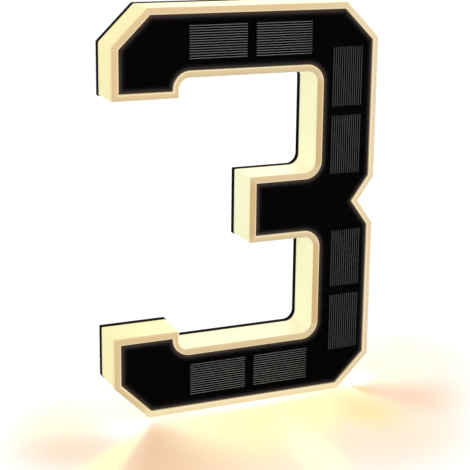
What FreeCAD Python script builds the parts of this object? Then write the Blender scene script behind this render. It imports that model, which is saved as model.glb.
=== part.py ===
"""A solar house number: the figure 3 as a flat light box that hangs on a wall or stands up.

A milky diffuser carries the front panel on a ledge inside its rim.  The panel is a black board with
eight solar cells on its front and light sources on its back, under a clear cover.  A black plate
closes the back: it has keyhole hangers, a push button and the seats of the case screws.

X runs to the right, Y from the front to the back and Z up.  Every place below is written as
(x, depth, z): x and z from the centre of the figure, and depth from its front face.
"""
import math
import os
import re

import FreeCAD, Part
import Sketcher

SIZES = {
    # the outline of the figure, which is the same above and below its middle
    "height": 254,
    "width": 175,
    "stroke": 42,
    "corner_cut": 22,
    "terminal_drop": 12,
    "arm_reach": 86.5,
    "notch_rise": 15,
    "notch_depth": 10.75,
    "inner_radius": 7,
    # the diffuser
    "side_depth": 26,
    "wall": 2.4,
    "rim": 4.1,
    "rim_bevel": 0.8,
    "panel_recess": 0.6,
    "ledge_width": 2.4,
    "ledge_thickness": 1.6,
    # the front panel, from the clear cover back to the adhesive ring
    "panel_gap": 0.15,
    "cover_thickness": 1.1,
    "glue_line": 0.1,
    "board_thickness": 1.2,
    "tape_thickness": 0.2,
    "tape_inset": 0.4,
    "cell_length": 39,
    "cell_width": 22,
    "cell_thickness": 0.3,
    "cell_spacing": 4.2,
    "cell_clearance": 0.1,
    "top_cells_shift": 1.2,
    "bottom_cells_shift": 2.4,
    "lower_cells_shift": 2.1,
    "upright_cells_inward": 1,
    "led_length": 3.5,
    "led_width": 2.8,
    "led_thickness": 0.8,
    "led_end_gap": 12,
    # the back plate
    "plate_thickness": 3.7,
    "plate_overhang": 0.4,
    "floor_thickness": 2.2,
    "lip_gap": 0.3,
    "lip_thickness": 1.6,
    "lip_height": 3,
    "gasket_inset": 0.6,
    "gasket_width": 1.2,
    "gasket_thickness": 1,
    "sheet_thickness": 0.4,
    "sheet_gap": 0.5,
    # the case screws and the posts they are driven into
    "post_radius": 3.3,
    "post_inset": 5.6,
    "post_clearance": 0.4,
    "seat_radius": 5,
    "screw_radius": 1.5,
    "screw_length": 10,
    "screw_play": 0.2,
    "pilot_play": 0.05,
    "head_radius": 2.8,
    "head_height": 1.9,
    "head_clearance": 0.4,
    "head_pocket_depth": 2.4,
    # the keyhole hangers
    "hanger_x": 32,
    "hanger_entry_radius": 4.5,
    "hanger_slot_radius": 2.2,
    "hanger_travel": 8,
    "hanger_lip": 1.7,
    "hanger_depth": 5.5,
    "hanger_wall": 1.5,
    # the control board, its standoffs and its screws
    "control_width": 20,
    "control_length": 40,
    "control_thickness": 1.6,
    "standoff_height": 9,
    "standoff_radius": 2.8,
    "control_hole_x": 6.5,
    "control_hole_z": 16.5,
    "small_screw_radius": 1.1,
    "small_screw_length": 6,
    "small_head_radius": 2.2,
    "small_head_height": 1.5,
    # what stands on the control board, each placed from the board's centre
    "chip_x": 4.5,
    "chip_z": 14,
    "chip_width": 5,
    "chip_length": 4,
    "chip_height": 1.6,
    "inductor_x": 5.5,
    "inductor_z": 13,
    "inductor_size": 6,
    "inductor_height": 3,
    "capacitor_x": 1,
    "capacitor_z": 9,
    "capacitor_radius": 2.5,
    "capacitor_height": 5.4,
    # the push switch and its button
    "switch_size": 8,
    "switch_height": 6,
    "plunger_radius": 1.6,
    "plunger_play": 0.2,
    "plunger_inside": 3,
    "button_travel": 1.2,
    "button_radius": 4.7,
    "button_play": 0.3,
    "button_shoulder": 2,
    "button_crown": 0.5,
    "button_edge": 0.35,
    "flange_radius": 6.3,
    "flange_thickness": 0.8,
    "seal_thickness": 0.6,
    "dish_depth": 1.1,
    "dish_spread": 2,
    # the rechargeable cell and its holder
    "battery_length": 50.5,
    "battery_radius": 7.1,
    "battery_nub_radius": 2.6,
    "battery_nub_length": 1,
    "battery_corner": 0.8,
    "battery_play": 0.2,
    "battery_shift": 2.5,
    "contact_thickness": 0.5,
    "contact_width": 9,
    "contact_gap": 0.1,
    "holder_wall": 1.6,
    "holder_base": 1,
    "pad_thickness": 0.5,
    # the battery's straps and the cable between the boards
    "strap_width": 4,
    "strap_thickness": 0.3,
    "strap_clearance": 0.6,
    "strap_landing": 5,
    "ribbon_width": 6,
    "ribbon_thickness": 1,
    "ribbon_rise": 12,
    "ribbon_drop": 10,
}

doc = FreeCAD.newDocument("house_number")
sheet = doc.addObject("Spreadsheet::Sheet", "Sizes")
for row, (word, number) in enumerate(SIZES.items(), start=1):
    sheet.set("A%d" % row, word)
    sheet.set("B%d" % row, str(number))
    sheet.setAlias("B%d" % row, word)
doc.recompute()

# Depths from the front face, each worked out from the one before it.
COVER_FRONT = "panel_recess"
COVER_BACK = COVER_FRONT + " + cover_thickness"
BOARD_FRONT = COVER_BACK + " + glue_line"
BOARD_BACK = BOARD_FRONT + " + board_thickness"
LEDGE_FRONT = BOARD_BACK + " + tape_thickness"
LEDGE_BACK = LEDGE_FRONT + " + ledge_thickness"
PLATE_BACK = "side_depth + plate_thickness"
FLOOR = PLATE_BACK + " - floor_thickness"
CONTROL_BACK = FLOOR + " - standoff_height"
CONTROL_FRONT = CONTROL_BACK + " - control_thickness"
SWITCH_BACK = CONTROL_BACK + " + switch_height"
FLANGE_BACK = FLOOR + " - seal_thickness"
FLANGE_FRONT = FLANGE_BACK + " - flange_thickness"
HOLDER_BACK = FLOOR + " - pad_thickness"
BATTERY_AXIS = HOLDER_BACK + " - holder_base - battery_play - battery_radius"

# Insets from the outline of the figure.
PANEL_INSET = "rim + panel_gap"
WINDOW_INSET = "rim + ledge_width"
LIP_OUTSIDE = "wall + lip_gap"
LIP_INSIDE = "wall + lip_gap + lip_thickness"

# Places across the figure, from its centre.
COLUMN_X = "width / 2 - stroke / 2"
ARM_Z = "height / 2 - stroke / 2"
PAIR_Z = "(notch_rise + height / 2 - corner_cut) / 2"
PAIR_STEP = "(cell_length + cell_spacing) / 2"
CONTROL_Z = "-(" + PAIR_Z + ")"
LOWER_CELLS_X = COLUMN_X + " + lower_cells_shift"
UPPER_CELLS_Z = PAIR_Z + " - upright_cells_inward"
LOWER_CELLS_Z = CONTROL_Z + " + upright_cells_inward"
BATTERY_X = "width / 2 - arm_reach / 2 - battery_shift"
HOLDER_SPAN = "battery_length + 2 * contact_thickness + 2 * contact_gap"


def formula(text):
    """The expression for a formula written in the words of the sheet."""
    return re.sub(r"[a-z]\w*", lambda m: "Sizes." + m.group() if m.group() in SIZES else m.group(), text)


def number(text):
    """What a formula comes to now."""
    return float(sheet.evalExpression(formula(text)))


def bind(thing, **formulas):
    """Ties properties of an object to formulas."""
    for name, text in formulas.items():
        thing.setExpression(name, formula(text))
    return thing


def place(thing, x="0", depth="0", z="0"):
    """Puts an object at a place given from the centre of the figure and its front face."""
    thing.setExpression("Placement.Base.x", formula(x))
    thing.setExpression("Placement.Base.y", formula("%s - (%s) / 2" % (depth, PLATE_BACK)))
    thing.setExpression("Placement.Base.z", formula("%s + height / 2 + plate_overhang" % z))
    return thing


def fix_point(sketch, geometry, end, u, v):
    """Ties a point of a sketch to two formulas, measured from the sketch's origin."""
    for kind, axis, text in (("DistanceX", -2, u), ("DistanceY", -1, v)):
        if text == "0":
            sketch.addConstraint(Sketcher.Constraint("PointOnObject", geometry, end, axis))
            continue
        index = sketch.addConstraint(Sketcher.Constraint(kind, -1, 1, geometry, end, number(text)))
        word = "%s_%d" % (kind.lower(), index)
        sketch.renameConstraint(index, word)
        sketch.setExpression("Constraints." + word, formula(text))


def polygon(sketch, corners, radius=None):
    """Draws a closed outline.  A corner is (u, v), or (u, v, to_u, to_v) where it is rounded: the
    last two are +1 or -1 and point from the corner to the centre of its arc."""
    spots = [FreeCAD.Vector(number(corner[0]), number(corner[1])) for corner in corners]
    size = number(radius) if radius else 0
    lines = []
    for i, start in enumerate(spots):
        end = spots[(i + 1) % len(spots)]
        along = (end - start).normalize()
        first = start + along * size if len(corners[i]) > 2 else start
        last = end - along * size if len(corners[(i + 1) % len(spots)]) > 2 else end
        lines.append(sketch.addGeometry(Part.LineSegment(first, last)))
    for i, corner in enumerate(corners):
        before, after = lines[i - 1], lines[i]
        if len(corner) == 2:
            sketch.addConstraint(Sketcher.Constraint("Coincident", before, 2, after, 1))
            fix_point(sketch, after, 1, corner[0], corner[1])
            continue
        to_u, to_v = corner[2:]
        centre = spots[i] + FreeCAD.Vector(to_u * size, to_v * size)
        ends = [sketch.Geometry[before].EndPoint - centre, sketch.Geometry[after].StartPoint - centre]
        turns_left = ends[0].cross(ends[1]).z > 0
        low, high = ends if turns_left else reversed(ends)
        circle = Part.Circle(centre, FreeCAD.Vector(0, 0, 1), size)
        arc = Part.ArcOfCircle(circle, math.atan2(low.y, low.x), math.atan2(high.y, high.x))
        arc = sketch.addGeometry(arc)
        sketch.addConstraint(Sketcher.Constraint("Tangent", before, 2, arc, 1 if turns_left else 2))
        sketch.addConstraint(Sketcher.Constraint("Tangent", after, 1, arc, 2 if turns_left else 1))
        fix_point(sketch, arc, 3, "%s + %d * (%s)" % (corner[0], to_u, radius),
                  "%s + %d * (%s)" % (corner[1], to_v, radius))
        index = sketch.addConstraint(Sketcher.Constraint("Radius", arc, size))
        sketch.renameConstraint(index, "radius_%d" % index)
        sketch.setExpression("Constraints.radius_%d" % index, formula(radius))


def draw_figure():
    """The outline of the figure 3, drawn on the front face, and the face inside it."""
    upper = [
        ("width / 2", "notch_rise"),
        ("width / 2", "height / 2 - corner_cut"),
        ("width / 2 - corner_cut", "height / 2"),
        ("-width / 2 + corner_cut", "height / 2"),
        ("-width / 2", "height / 2 - corner_cut"),
        ("-width / 2", "height / 2 - stroke - terminal_drop"),
        ("-width / 2 + stroke", "height / 2 - stroke - terminal_drop"),
        ("-width / 2 + stroke", "height / 2 - stroke", 1, -1),
        ("width / 2 - stroke", "height / 2 - stroke", -1, -1),
        ("width / 2 - stroke", "stroke / 2", -1, 1),
        ("width / 2 - arm_reach", "stroke / 2"),
    ]
    lower = [(u, "-(%s)" % v) if not turn else (u, "-(%s)" % v, turn[0], -turn[1])
             for u, v, *turn in reversed(upper)]
    sketch = doc.addObject("Sketcher::SketchObject", "figure_outline")
    sketch.Placement = FreeCAD.Placement(FreeCAD.Vector(), FreeCAD.Rotation(FreeCAD.Vector(1, 0, 0), 90))
    place(sketch)
    polygon(sketch, [("width / 2 - notch_depth", "0")] + upper + lower, "inner_radius")
    face = doc.addObject("Part::Face", "figure_face")
    face.Sources = [sketch]
    doc.recompute()
    return face


figure = draw_figure()


def inset(text):
    """The outline of the figure drawn in by a formula, or let out where it is negative."""
    outline = doc.addObject("Part::Offset2D", "inset")
    outline.Source = figure
    outline.Join = "Intersection"
    bind(outline, Value="-(%s)" % text)
    return outline


def slab(inset_by, front, back):
    """The figure drawn in by inset_by, as a slab between two depths."""
    solid = doc.addObject("Part::Extrusion", "slab")
    solid.Base = inset(inset_by) if inset_by != "0" else figure
    solid.DirMode = "Custom"
    solid.Dir = FreeCAD.Vector(0, 1, 0)
    solid.Solid = True
    bind(solid, LengthFwd="(%s) - (%s)" % (back, front))
    solid.setExpression("Placement.Base.y", formula(front))
    return solid


def block(x, depth, z, wide, deep, high):
    """A box centred on x and z, with its front at a depth."""
    solid = bind(doc.addObject("Part::Box", "block"), Length=wide, Width=deep, Height=high)
    return place(solid, "%s - (%s) / 2" % (x, wide), depth, "%s - (%s) / 2" % (z, high))


def drum(x, depth, z, radius, deep):
    """A cylinder along Y, with its front end at a depth."""
    solid = bind(doc.addObject("Part::Cylinder", "drum"), Radius=radius, Height=deep)
    solid.Placement.Rotation = FreeCAD.Rotation(FreeCAD.Vector(1, 0, 0), -90)
    return place(solid, x, depth, z)


def taper(x, depth, z, front_radius, back_radius, deep):
    """A cone along Y, with its front end at a depth."""
    solid = bind(doc.addObject("Part::Cone", "taper"), Radius1=front_radius, Radius2=back_radius, Height=deep)
    solid.Placement.Rotation = FreeCAD.Rotation(FreeCAD.Vector(1, 0, 0), -90)
    return place(solid, x, depth, z)


def fuse(solids, name="joined"):
    """Several solids made one."""
    joined = doc.addObject("Part::MultiFuse", name)
    joined.Shapes = solids
    return joined


def cut(solid, tools, name="trimmed"):
    """A solid less the tools."""
    trimmed = doc.addObject("Part::Cut", name)
    trimmed.Base = solid
    trimmed.Tool = tools[0] if len(tools) == 1 else fuse(tools)
    return trimmed


def group(solids, name):
    """Separate solids kept as one sub-part."""
    joined = doc.addObject("Part::Compound", name)
    joined.Links = solids
    return joined


def hanger_block(x, depth, z, margin, deep):
    """A block round the whole travel of a screw head in a keyhole hanger, let out by a margin."""
    across = "2 * (hanger_entry_radius + %s)" % margin
    return block(x, depth, "%s + hanger_travel / 2" % z, across, deep, "hanger_travel + %s" % across)


def both_ways(places):
    """Places on the upper half of the figure and the same places on the lower half."""
    return places + [(x, "-(%s)" % z) for x, z in places]


POSTS = both_ways([
    ("0", "height / 2 - post_inset"),
    ("-width / 2 + post_inset", "height / 2 - (stroke + terminal_drop + corner_cut) / 2"),
    ("width / 2 - post_inset", PAIR_Z),
]) + [("width / 2 - arm_reach + post_inset", "0")]
HANGERS = [(side + "hanger_x", end + "(" + ARM_Z + ")") for side in ("", "-") for end in ("", "-")]
STANDOFFS = [("%s - control_hole_x" % COLUMN_X, "%s + control_hole_z" % CONTROL_Z),
             ("%s + control_hole_x" % COLUMN_X, "%s - control_hole_z" % CONTROL_Z)]
CELLS = {
    "cell_top_left": ("top_cells_shift - " + PAIR_STEP, ARM_Z, "flat"),
    "cell_top_right": ("top_cells_shift + " + PAIR_STEP, ARM_Z, "flat"),
    "cell_upper_high": (COLUMN_X, UPPER_CELLS_Z + " + " + PAIR_STEP, "upright"),
    "cell_upper_low": (COLUMN_X, UPPER_CELLS_Z + " - " + PAIR_STEP, "upright"),
    "cell_lower_high": (LOWER_CELLS_X, LOWER_CELLS_Z + " + " + PAIR_STEP, "upright"),
    "cell_lower_low": (LOWER_CELLS_X, LOWER_CELLS_Z + " - " + PAIR_STEP, "upright"),
    "cell_bottom_left": ("bottom_cells_shift - " + PAIR_STEP, "-(%s)" % ARM_Z, "flat"),
    "cell_bottom_right": ("bottom_cells_shift + " + PAIR_STEP, "-(%s)" % ARM_Z, "flat"),
}
# How far along each stroke the light sources sit, as shares of half its length.
ROW_SHARES = (-0.8, -0.4, 0, 0.4)
COLUMN_SHARES = (-1, -0.75, -0.5, -0.25, 0, 0.25, 0.5, 0.75, 1)
ARM_SHARES = (0.5, 0.8)


def diffuser():
    """The milky shell: side wall, front rim with a bevelled step, ledge and screw posts."""
    bevel = doc.addObject("Part::Loft", "rim_step")
    bevel.Sections = [inset("rim - rim_bevel"), inset("rim")]
    bevel.Sections[1].setExpression("Placement.Base.y", formula(COVER_FRONT))
    bevel.Solid = True
    bevel.Ruled = True
    recess = slab("rim", COVER_FRONT, LEDGE_FRONT)
    window = slab(WINDOW_INSET, LEDGE_FRONT, LEDGE_BACK)
    hollow = slab("wall", LEDGE_BACK, "side_depth")
    shell = cut(slab("0", "0", "side_depth"), [bevel, recess, window, hollow])
    posts = [drum(x, LEDGE_BACK, z, "post_radius", "side_depth - (%s)" % LEDGE_BACK) for x, z in POSTS]
    pilot = "screw_length + head_pocket_depth - plate_thickness + screw_radius"
    pilots = [drum(x, "side_depth - (%s)" % pilot, z, "screw_radius + pilot_play", pilot)
              for x, z in POSTS]
    return cut(fuse([shell] + posts), pilots, "diffuser")


def face_cover():
    """The clear cover, with a shallow pocket in its back for each solar cell."""
    pocket = "cell_thickness + cell_clearance - glue_line"
    pockets = [cell_block(x, "%s - (%s)" % (COVER_BACK, pocket), z, turn, "cell_clearance", pocket)
               for x, z, turn in CELLS.values()]
    return cut(slab(PANEL_INSET, COVER_FRONT, COVER_BACK), pockets, "face_cover")


def cell_block(x, depth, z, turn, margin, deep):
    """A block of a solar cell's outline, let out by a margin, lying flat or upright."""
    long_side = "cell_length + 2 * %s" % margin
    short_side = "cell_width + 2 * %s" % margin
    if turn == "flat":
        return block(x, depth, z, long_side, deep, short_side)
    return block(x, depth, z, short_side, deep, long_side)


def solar_cell(name, x, z, turn):
    """One piece of a solar wafer, glued to the front of the board."""
    cell = cell_block(x, "%s - cell_thickness" % BOARD_FRONT, z, turn, "0", "cell_thickness")
    cell.Label = name
    return cell


def leds():
    """Small light sources in a row down the middle of each stroke, on the back of the board."""
    arm = "(width - 2 * led_end_gap) / 2"
    spots = [("%g * %s" % (share, arm), side + "(" + ARM_Z + ")", "led_length", "led_width")
             for share in ROW_SHARES for side in ("", "-")]
    spots += [(COLUMN_X, "%g * (%s)" % (share, ARM_Z), "led_width", "led_length")
              for share in COLUMN_SHARES]
    spots += [("width / 2 - arm_reach * %g" % share, "0", "led_length", "led_width") for share in ARM_SHARES]
    return group([block(x, BOARD_BACK, z, wide, "led_thickness", high) for x, z, wide, high in spots], "leds")


def panel_tape():
    """The ring of adhesive between the front panel and the ledge."""
    ring = slab("%s + tape_inset" % PANEL_INSET, BOARD_BACK, LEDGE_FRONT)
    middle = slab("%s - tape_inset" % WINDOW_INSET, BOARD_BACK, LEDGE_FRONT)
    return cut(ring, [middle], "panel_tape")


def back_plate():
    """The black tray: floor, edge, lip inside the diffuser, screw seats, hangers and standoffs."""
    tray = cut(slab("-(plate_overhang)", "side_depth", PLATE_BACK), [slab(LIP_INSIDE, "side_depth", FLOOR)])
    lip_front = "side_depth - lip_height"
    lip = cut(slab(LIP_OUTSIDE, lip_front, "side_depth"), [slab(LIP_INSIDE, lip_front, "side_depth")])
    gap = "2 * (post_radius + post_clearance)"
    gaps = [block(x, lip_front, z, gap, "lip_height", gap) for x, z in POSTS]
    seats = [drum(x, "side_depth", z, "seat_radius", "plate_thickness - floor_thickness / 2")
             for x, z in POSTS]
    hanger_front = "%s - hanger_depth - hanger_wall" % PLATE_BACK
    hanger_height = "hanger_depth + hanger_wall - floor_thickness / 2"
    hangers = [hanger_block(x, hanger_front, z, "hanger_wall", hanger_height) for x, z in HANGERS]
    standoffs = [drum(x, CONTROL_BACK, z, "standoff_radius", "standoff_height + floor_thickness / 2")
                 for x, z in STANDOFFS]
    solid = fuse([tray, cut(lip, gaps)] + seats + hangers + standoffs)

    groove = cut(slab("gasket_inset", "side_depth", "side_depth + gasket_thickness"),
                 [slab("gasket_inset + gasket_width", "side_depth", "side_depth + gasket_thickness")])
    cuts = [groove]
    for x, z in POSTS:
        cuts.append(drum(x, "side_depth", z, "screw_radius + screw_play", "plate_thickness"))
        cuts.append(drum(x, "%s - head_pocket_depth" % PLATE_BACK, z, "head_radius + head_clearance",
                         "head_pocket_depth"))
    for x, z in HANGERS:
        slot_front = "%s - hanger_lip" % PLATE_BACK
        slot_top = "%s + hanger_travel" % z
        cuts.append(hanger_block(x, "%s - hanger_depth" % PLATE_BACK, z, "0", "hanger_depth - hanger_lip"))
        cuts.append(drum(x, slot_front, z, "hanger_entry_radius", "hanger_lip"))
        cuts.append(drum(x, slot_front, slot_top, "hanger_slot_radius", "hanger_lip"))
        cuts.append(block(x, slot_front, "%s + hanger_travel / 2" % z, "2 * hanger_slot_radius", "hanger_lip",
                          "hanger_travel"))
    for x, z in STANDOFFS:
        cuts.append(drum(x, CONTROL_BACK, z, "small_screw_radius + pilot_play", "small_screw_length"))
    cuts.append(drum(COLUMN_X, FLOOR, CONTROL_Z, "button_radius + button_play", "floor_thickness"))
    cuts.append(taper(COLUMN_X, "%s - dish_depth" % PLATE_BACK, CONTROL_Z, "button_radius + button_play",
                      "button_radius + button_play + dish_spread", "dish_depth"))
    return cut(solid, cuts, "back_plate")


def rear_gasket():
    """The square-section seal in the groove of the back plate."""
    back = "side_depth + gasket_thickness"
    return cut(slab("gasket_inset", "side_depth", back),
               [slab("gasket_inset + gasket_width", "side_depth", back)], "rear_gasket")


def reflector():
    """The white sheet on the floor of the plate, with a hole round everything that stands there."""
    front = "%s - sheet_thickness" % FLOOR
    holes = [drum(x, front, z, "seat_radius + sheet_gap", "sheet_thickness") for x, z in POSTS]
    holes += [hanger_block(x, front, z, "hanger_wall + sheet_gap", "sheet_thickness") for x, z in HANGERS]
    holes += [drum(x, front, z, "standoff_radius + sheet_gap", "sheet_thickness") for x, z in STANDOFFS]
    holes.append(drum(COLUMN_X, front, CONTROL_Z, "flange_radius + sheet_gap", "sheet_thickness"))
    holes.append(block(BATTERY_X, front, "0", "%s + 2 * holder_wall + 2 * sheet_gap" % HOLDER_SPAN,
                       "sheet_thickness", "2 * (battery_radius + battery_play + holder_wall + sheet_gap)"))
    return cut(slab(LIP_INSIDE + " + sheet_gap", front, FLOOR), holes, "reflector")


def screws(name, places, head_front, shank_front, sizes):
    """Pan-head screws along Y, each a head and a shank."""
    radius, length, head_radius, head_height = sizes
    return group([fuse([drum(x, head_front, z, head_radius, head_height),
                        drum(x, shank_front, z, radius, length)]) for x, z in places], name)


def case_screws():
    """Driven forward, through the plate and into the posts of the diffuser."""
    head_front = "%s - head_pocket_depth" % PLATE_BACK
    return screws("case_screws", POSTS, head_front, "%s - screw_length" % head_front,
                  ("screw_radius", "screw_length", "head_radius", "head_height"))


def board_screws():
    """Driven backward, through the control board and into its standoffs."""
    return screws("board_screws", STANDOFFS, "%s - small_head_height" % CONTROL_FRONT, CONTROL_FRONT,
                  ("small_screw_radius", "small_screw_length", "small_head_radius", "small_head_height"))


def body(name, x, depth, z):
    """An empty body at a place."""
    return place(doc.addObject("PartDesign::Body", name), x, depth, z)


def sketch_on(part, role):
    """A sketch on one of the body's own origin planes."""
    plane = [feature for feature in part.Origin.OriginFeatures if feature.Role == role][0]
    sketch = part.newObject("Sketcher::SketchObject", part.Name + "_sketch")
    sketch.AttachmentSupport = [(plane, "")]
    sketch.MapMode = "FlatFace"
    return sketch


def rectangle(sketch, wide, high):
    """A rectangle centred on the sketch's origin."""
    right, top = "(%s) / 2" % wide, "(%s) / 2" % high
    polygon(sketch, [("-" + right, "-" + top), (right, "-" + top), (right, top), ("-" + right, top)])


def circle(sketch, u, v, radius):
    """A circle with its centre and radius tied to formulas."""
    ring = Part.Circle(FreeCAD.Vector(number(u), number(v), 0), FreeCAD.Vector(0, 0, 1), number(radius))
    ring = sketch.addGeometry(ring)
    fix_point(sketch, ring, 3, u, v)
    index = sketch.addConstraint(Sketcher.Constraint("Radius", ring, number(radius)))
    sketch.renameConstraint(index, "radius_%d" % index)
    sketch.setExpression("Constraints.radius_%d" % index, formula(radius))


def pad(part, sketch, length):
    """Pads a sketch of the body's front plane towards the back."""
    feature = part.newObject("PartDesign::Pad", part.Name + "_pad")
    feature.Profile = sketch
    feature.Reversed = True
    return bind(feature, Length=length)


def pocket(part, sketch, length):
    """Cuts a sketch of the body's front plane towards the back."""
    feature = part.newObject("PartDesign::Pocket", part.Name + "_pocket")
    feature.Profile = sketch
    feature.Reversed = False
    return bind(feature, Length=length)


def revolve(part, sketch, axis):
    """Turns a half section of the body about an axis of its sketch."""
    feature = part.newObject("PartDesign::Revolution", part.Name + "_turned")
    feature.Profile = sketch
    feature.ReferenceAxis = (sketch, [axis])
    feature.Angle = 360
    return feature


def control_board():
    """The charge and switch board, with a hole for each of its screws."""
    board = body("control_board", COLUMN_X, CONTROL_FRONT, CONTROL_Z)
    outline = sketch_on(board, "XZ_Plane")
    rectangle(outline, "control_width", "control_length")
    pad(board, outline, "control_thickness")
    holes = sketch_on(board, "XZ_Plane")
    circle(holes, "-control_hole_x", "control_hole_z", "small_screw_radius + screw_play")
    circle(holes, "control_hole_x", "-control_hole_z", "small_screw_radius + screw_play")
    pocket(board, holes, "control_thickness")
    return board


def board_components():
    """A charge controller, an inductor and a capacitor on the back of the control board."""
    chip = block("%s + chip_x" % COLUMN_X, CONTROL_BACK, "%s + chip_z" % CONTROL_Z,
                 "chip_width", "chip_height", "chip_length")
    inductor = block("%s - inductor_x" % COLUMN_X, CONTROL_BACK, "%s - inductor_z" % CONTROL_Z,
                     "inductor_size", "inductor_height", "inductor_size")
    capacitor = drum("%s - capacitor_x" % COLUMN_X, CONTROL_BACK, "%s + capacitor_z" % CONTROL_Z,
                     "capacitor_radius", "capacitor_height")
    return group([chip, inductor, capacitor], "board_components")


def switch_body():
    """The housing of the push switch, with the bore that its plunger runs in."""
    switch = body("switch_body", COLUMN_X, CONTROL_BACK, CONTROL_Z)
    outline = sketch_on(switch, "XZ_Plane")
    rectangle(outline, "switch_size", "switch_size")
    pad(switch, outline, "switch_height")
    bore = sketch_on(switch, "XZ_Plane")
    circle(bore, "0", "0", "plunger_radius + plunger_play")
    bore_depth = "plunger_inside + 2 * button_travel"
    bore.setExpression("AttachmentOffset.Base.z", formula("%s - switch_height" % bore_depth))
    pocket(switch, bore, bore_depth)
    return switch


def switch_plunger():
    """The plunger, from inside the switch back to the button's flange."""
    depth = "%s - plunger_inside" % SWITCH_BACK
    plunger = drum(COLUMN_X, depth, CONTROL_Z, "plunger_radius", "(%s) - (%s)" % (FLANGE_FRONT, depth))
    plunger.Label = "switch_plunger"
    return plunger


def button_cap():
    """The button, turned: a flange behind the floor, a shank in the hole and a crowned end."""
    cap = body("button_cap", COLUMN_X, FLANGE_FRONT, CONTROL_Z)
    section = sketch_on(cap, "XY_Plane")
    shoulder = "flange_thickness + seal_thickness + button_shoulder - button_crown"
    polygon(section, [("0", "0"), ("flange_radius", "0"), ("flange_radius", "flange_thickness"),
                      ("button_radius", "flange_thickness"), ("button_radius", shoulder),
                      ("button_radius - button_crown", "%s + button_edge" % shoulder),
                      ("0", "%s + button_crown" % shoulder)])
    revolve(cap, section, "V_Axis")
    return cap


def button_seal():
    """The soft ring between the button's flange and the floor."""
    ring = drum(COLUMN_X, FLANGE_BACK, CONTROL_Z, "flange_radius", "seal_thickness")
    hole = drum(COLUMN_X, FLANGE_BACK, CONTROL_Z, "button_radius + button_play", "seal_thickness")
    return cut(ring, [hole], "button_seal")


def battery():
    """The rechargeable cell, turned about its long axis, with its raised end to the left."""
    cell = body("battery", BATTERY_X, BATTERY_AXIS, "0")
    section = sketch_on(cell, "XY_Plane")
    left, right = "-battery_length / 2", "battery_length / 2"
    can = "%s + battery_nub_length" % left
    polygon(section, [(left, "0"), (right, "0"), (right, "battery_radius - battery_corner"),
                      ("%s - battery_corner" % right, "battery_radius"),
                      ("%s + battery_corner" % can, "battery_radius"),
                      (can, "battery_radius - battery_corner"),
                      (can, "battery_nub_radius"), (left, "battery_nub_radius")])
    revolve(cell, section, "H_Axis")
    return cell


def battery_holder():
    """An open trough with a base, two sides and two ends."""
    height = "(%s) - (%s)" % (HOLDER_BACK, BATTERY_AXIS)
    inside = "2 * (battery_radius + battery_play)"
    holder = body("battery_holder", BATTERY_X, BATTERY_AXIS, "0")
    outline = sketch_on(holder, "XZ_Plane")
    rectangle(outline, "%s + 2 * holder_wall" % HOLDER_SPAN, "%s + 2 * holder_wall" % inside)
    pad(holder, outline, height)
    trough = sketch_on(holder, "XZ_Plane")
    rectangle(trough, HOLDER_SPAN, inside)
    pocket(holder, trough, "(%s) - holder_base" % height)
    return holder


def contact_x(side):
    """Where the middle of a contact plate stands, on the left (-1) or right (1) of the battery."""
    return "%s + %d * (battery_length / 2 + contact_gap + contact_thickness / 2)" % (BATTERY_X, side)


def battery_contacts():
    """A nickel plate at each end of the battery, standing above the holder's ends."""
    high = "(%s) - (%s) - holder_base + contact_thickness" % (HOLDER_BACK, BATTERY_AXIS)
    front = "%s - contact_thickness" % BATTERY_AXIS
    return group([block(contact_x(side), front, "0", "contact_thickness", high, "contact_width")
                  for side in (-1, 1)], "battery_contacts")


def holder_pad():
    """The adhesive pad under the holder."""
    pad_block = block(BATTERY_X, HOLDER_BACK, "0", "%s + 2 * holder_wall" % HOLDER_SPAN, "pad_thickness",
                      "2 * (battery_radius + battery_play + holder_wall)")
    pad_block.Label = "holder_pad"
    return pad_block


def strip(part, role, corners, wide, radius=None):
    """Pads an outline on one of the body's planes, half to each side."""
    section = sketch_on(part, role)
    polygon(section, corners, radius)
    feature = part.newObject("PartDesign::Pad", part.Name + "_strip")
    feature.Profile = section
    feature.Midplane = True
    bind(feature, Length=wide)


def right_strap():
    """The strap from the battery's right contact, down to the front of the control board."""
    middle = "%s + (strap_width - contact_thickness) / 2" % contact_x(1)
    strap = body("right_strap", middle, "%s - contact_thickness" % BATTERY_AXIS, "0")
    level = "(%s) - (%s) + contact_thickness" % (CONTROL_FRONT, BATTERY_AXIS)
    end = "%s + control_length / 2 - strap_landing" % CONTROL_Z
    strip(strap, "YZ_Plane", [
        ("0", "0"), ("0", "strap_thickness"), ("%s - strap_thickness" % level, "strap_thickness"),
        ("%s - strap_thickness" % level, end), (level, end), (level, "0")], "strap_width")
    return strap


def left_strap():
    """The strap from the battery's left contact: forward, over the battery and down to the board."""
    start = "%s - contact_thickness" % BATTERY_AXIS
    over = "%s - battery_radius - strap_clearance" % BATTERY_AXIS
    strap = body("left_strap", contact_x(-1), start, "0")
    rise = "(%s) - (%s)" % (over, start)
    tail_x = "%s - strap_width / 2" % COLUMN_X
    far = "%s + strap_width / 2 - (%s)" % (tail_x, contact_x(-1))
    strip(strap, "XY_Plane", [
        ("0", "0"), ("0", "%s - strap_thickness" % rise), (far, "%s - strap_thickness" % rise), (far, rise),
        ("strap_thickness", rise), ("strap_thickness", "0")], "strap_width")
    down = body("left_strap_tail", tail_x, over, "0")
    level = "(%s) - (%s)" % (CONTROL_FRONT, over)
    end = "%s + control_length / 2 - strap_landing" % CONTROL_Z
    strip(down, "YZ_Plane", [
        ("0", "strap_width / 2"), ("0", "%s + strap_thickness" % end), (level, "%s + strap_thickness" % end),
        (level, end), ("-strap_thickness", end), ("-strap_thickness", "strap_width / 2")], "strap_width")
    return fuse([strap, down], "left_strap_whole")


def battery_straps():
    """The two nickel straps of the battery."""
    return group([left_strap(), right_strap()], "battery_straps")


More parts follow.
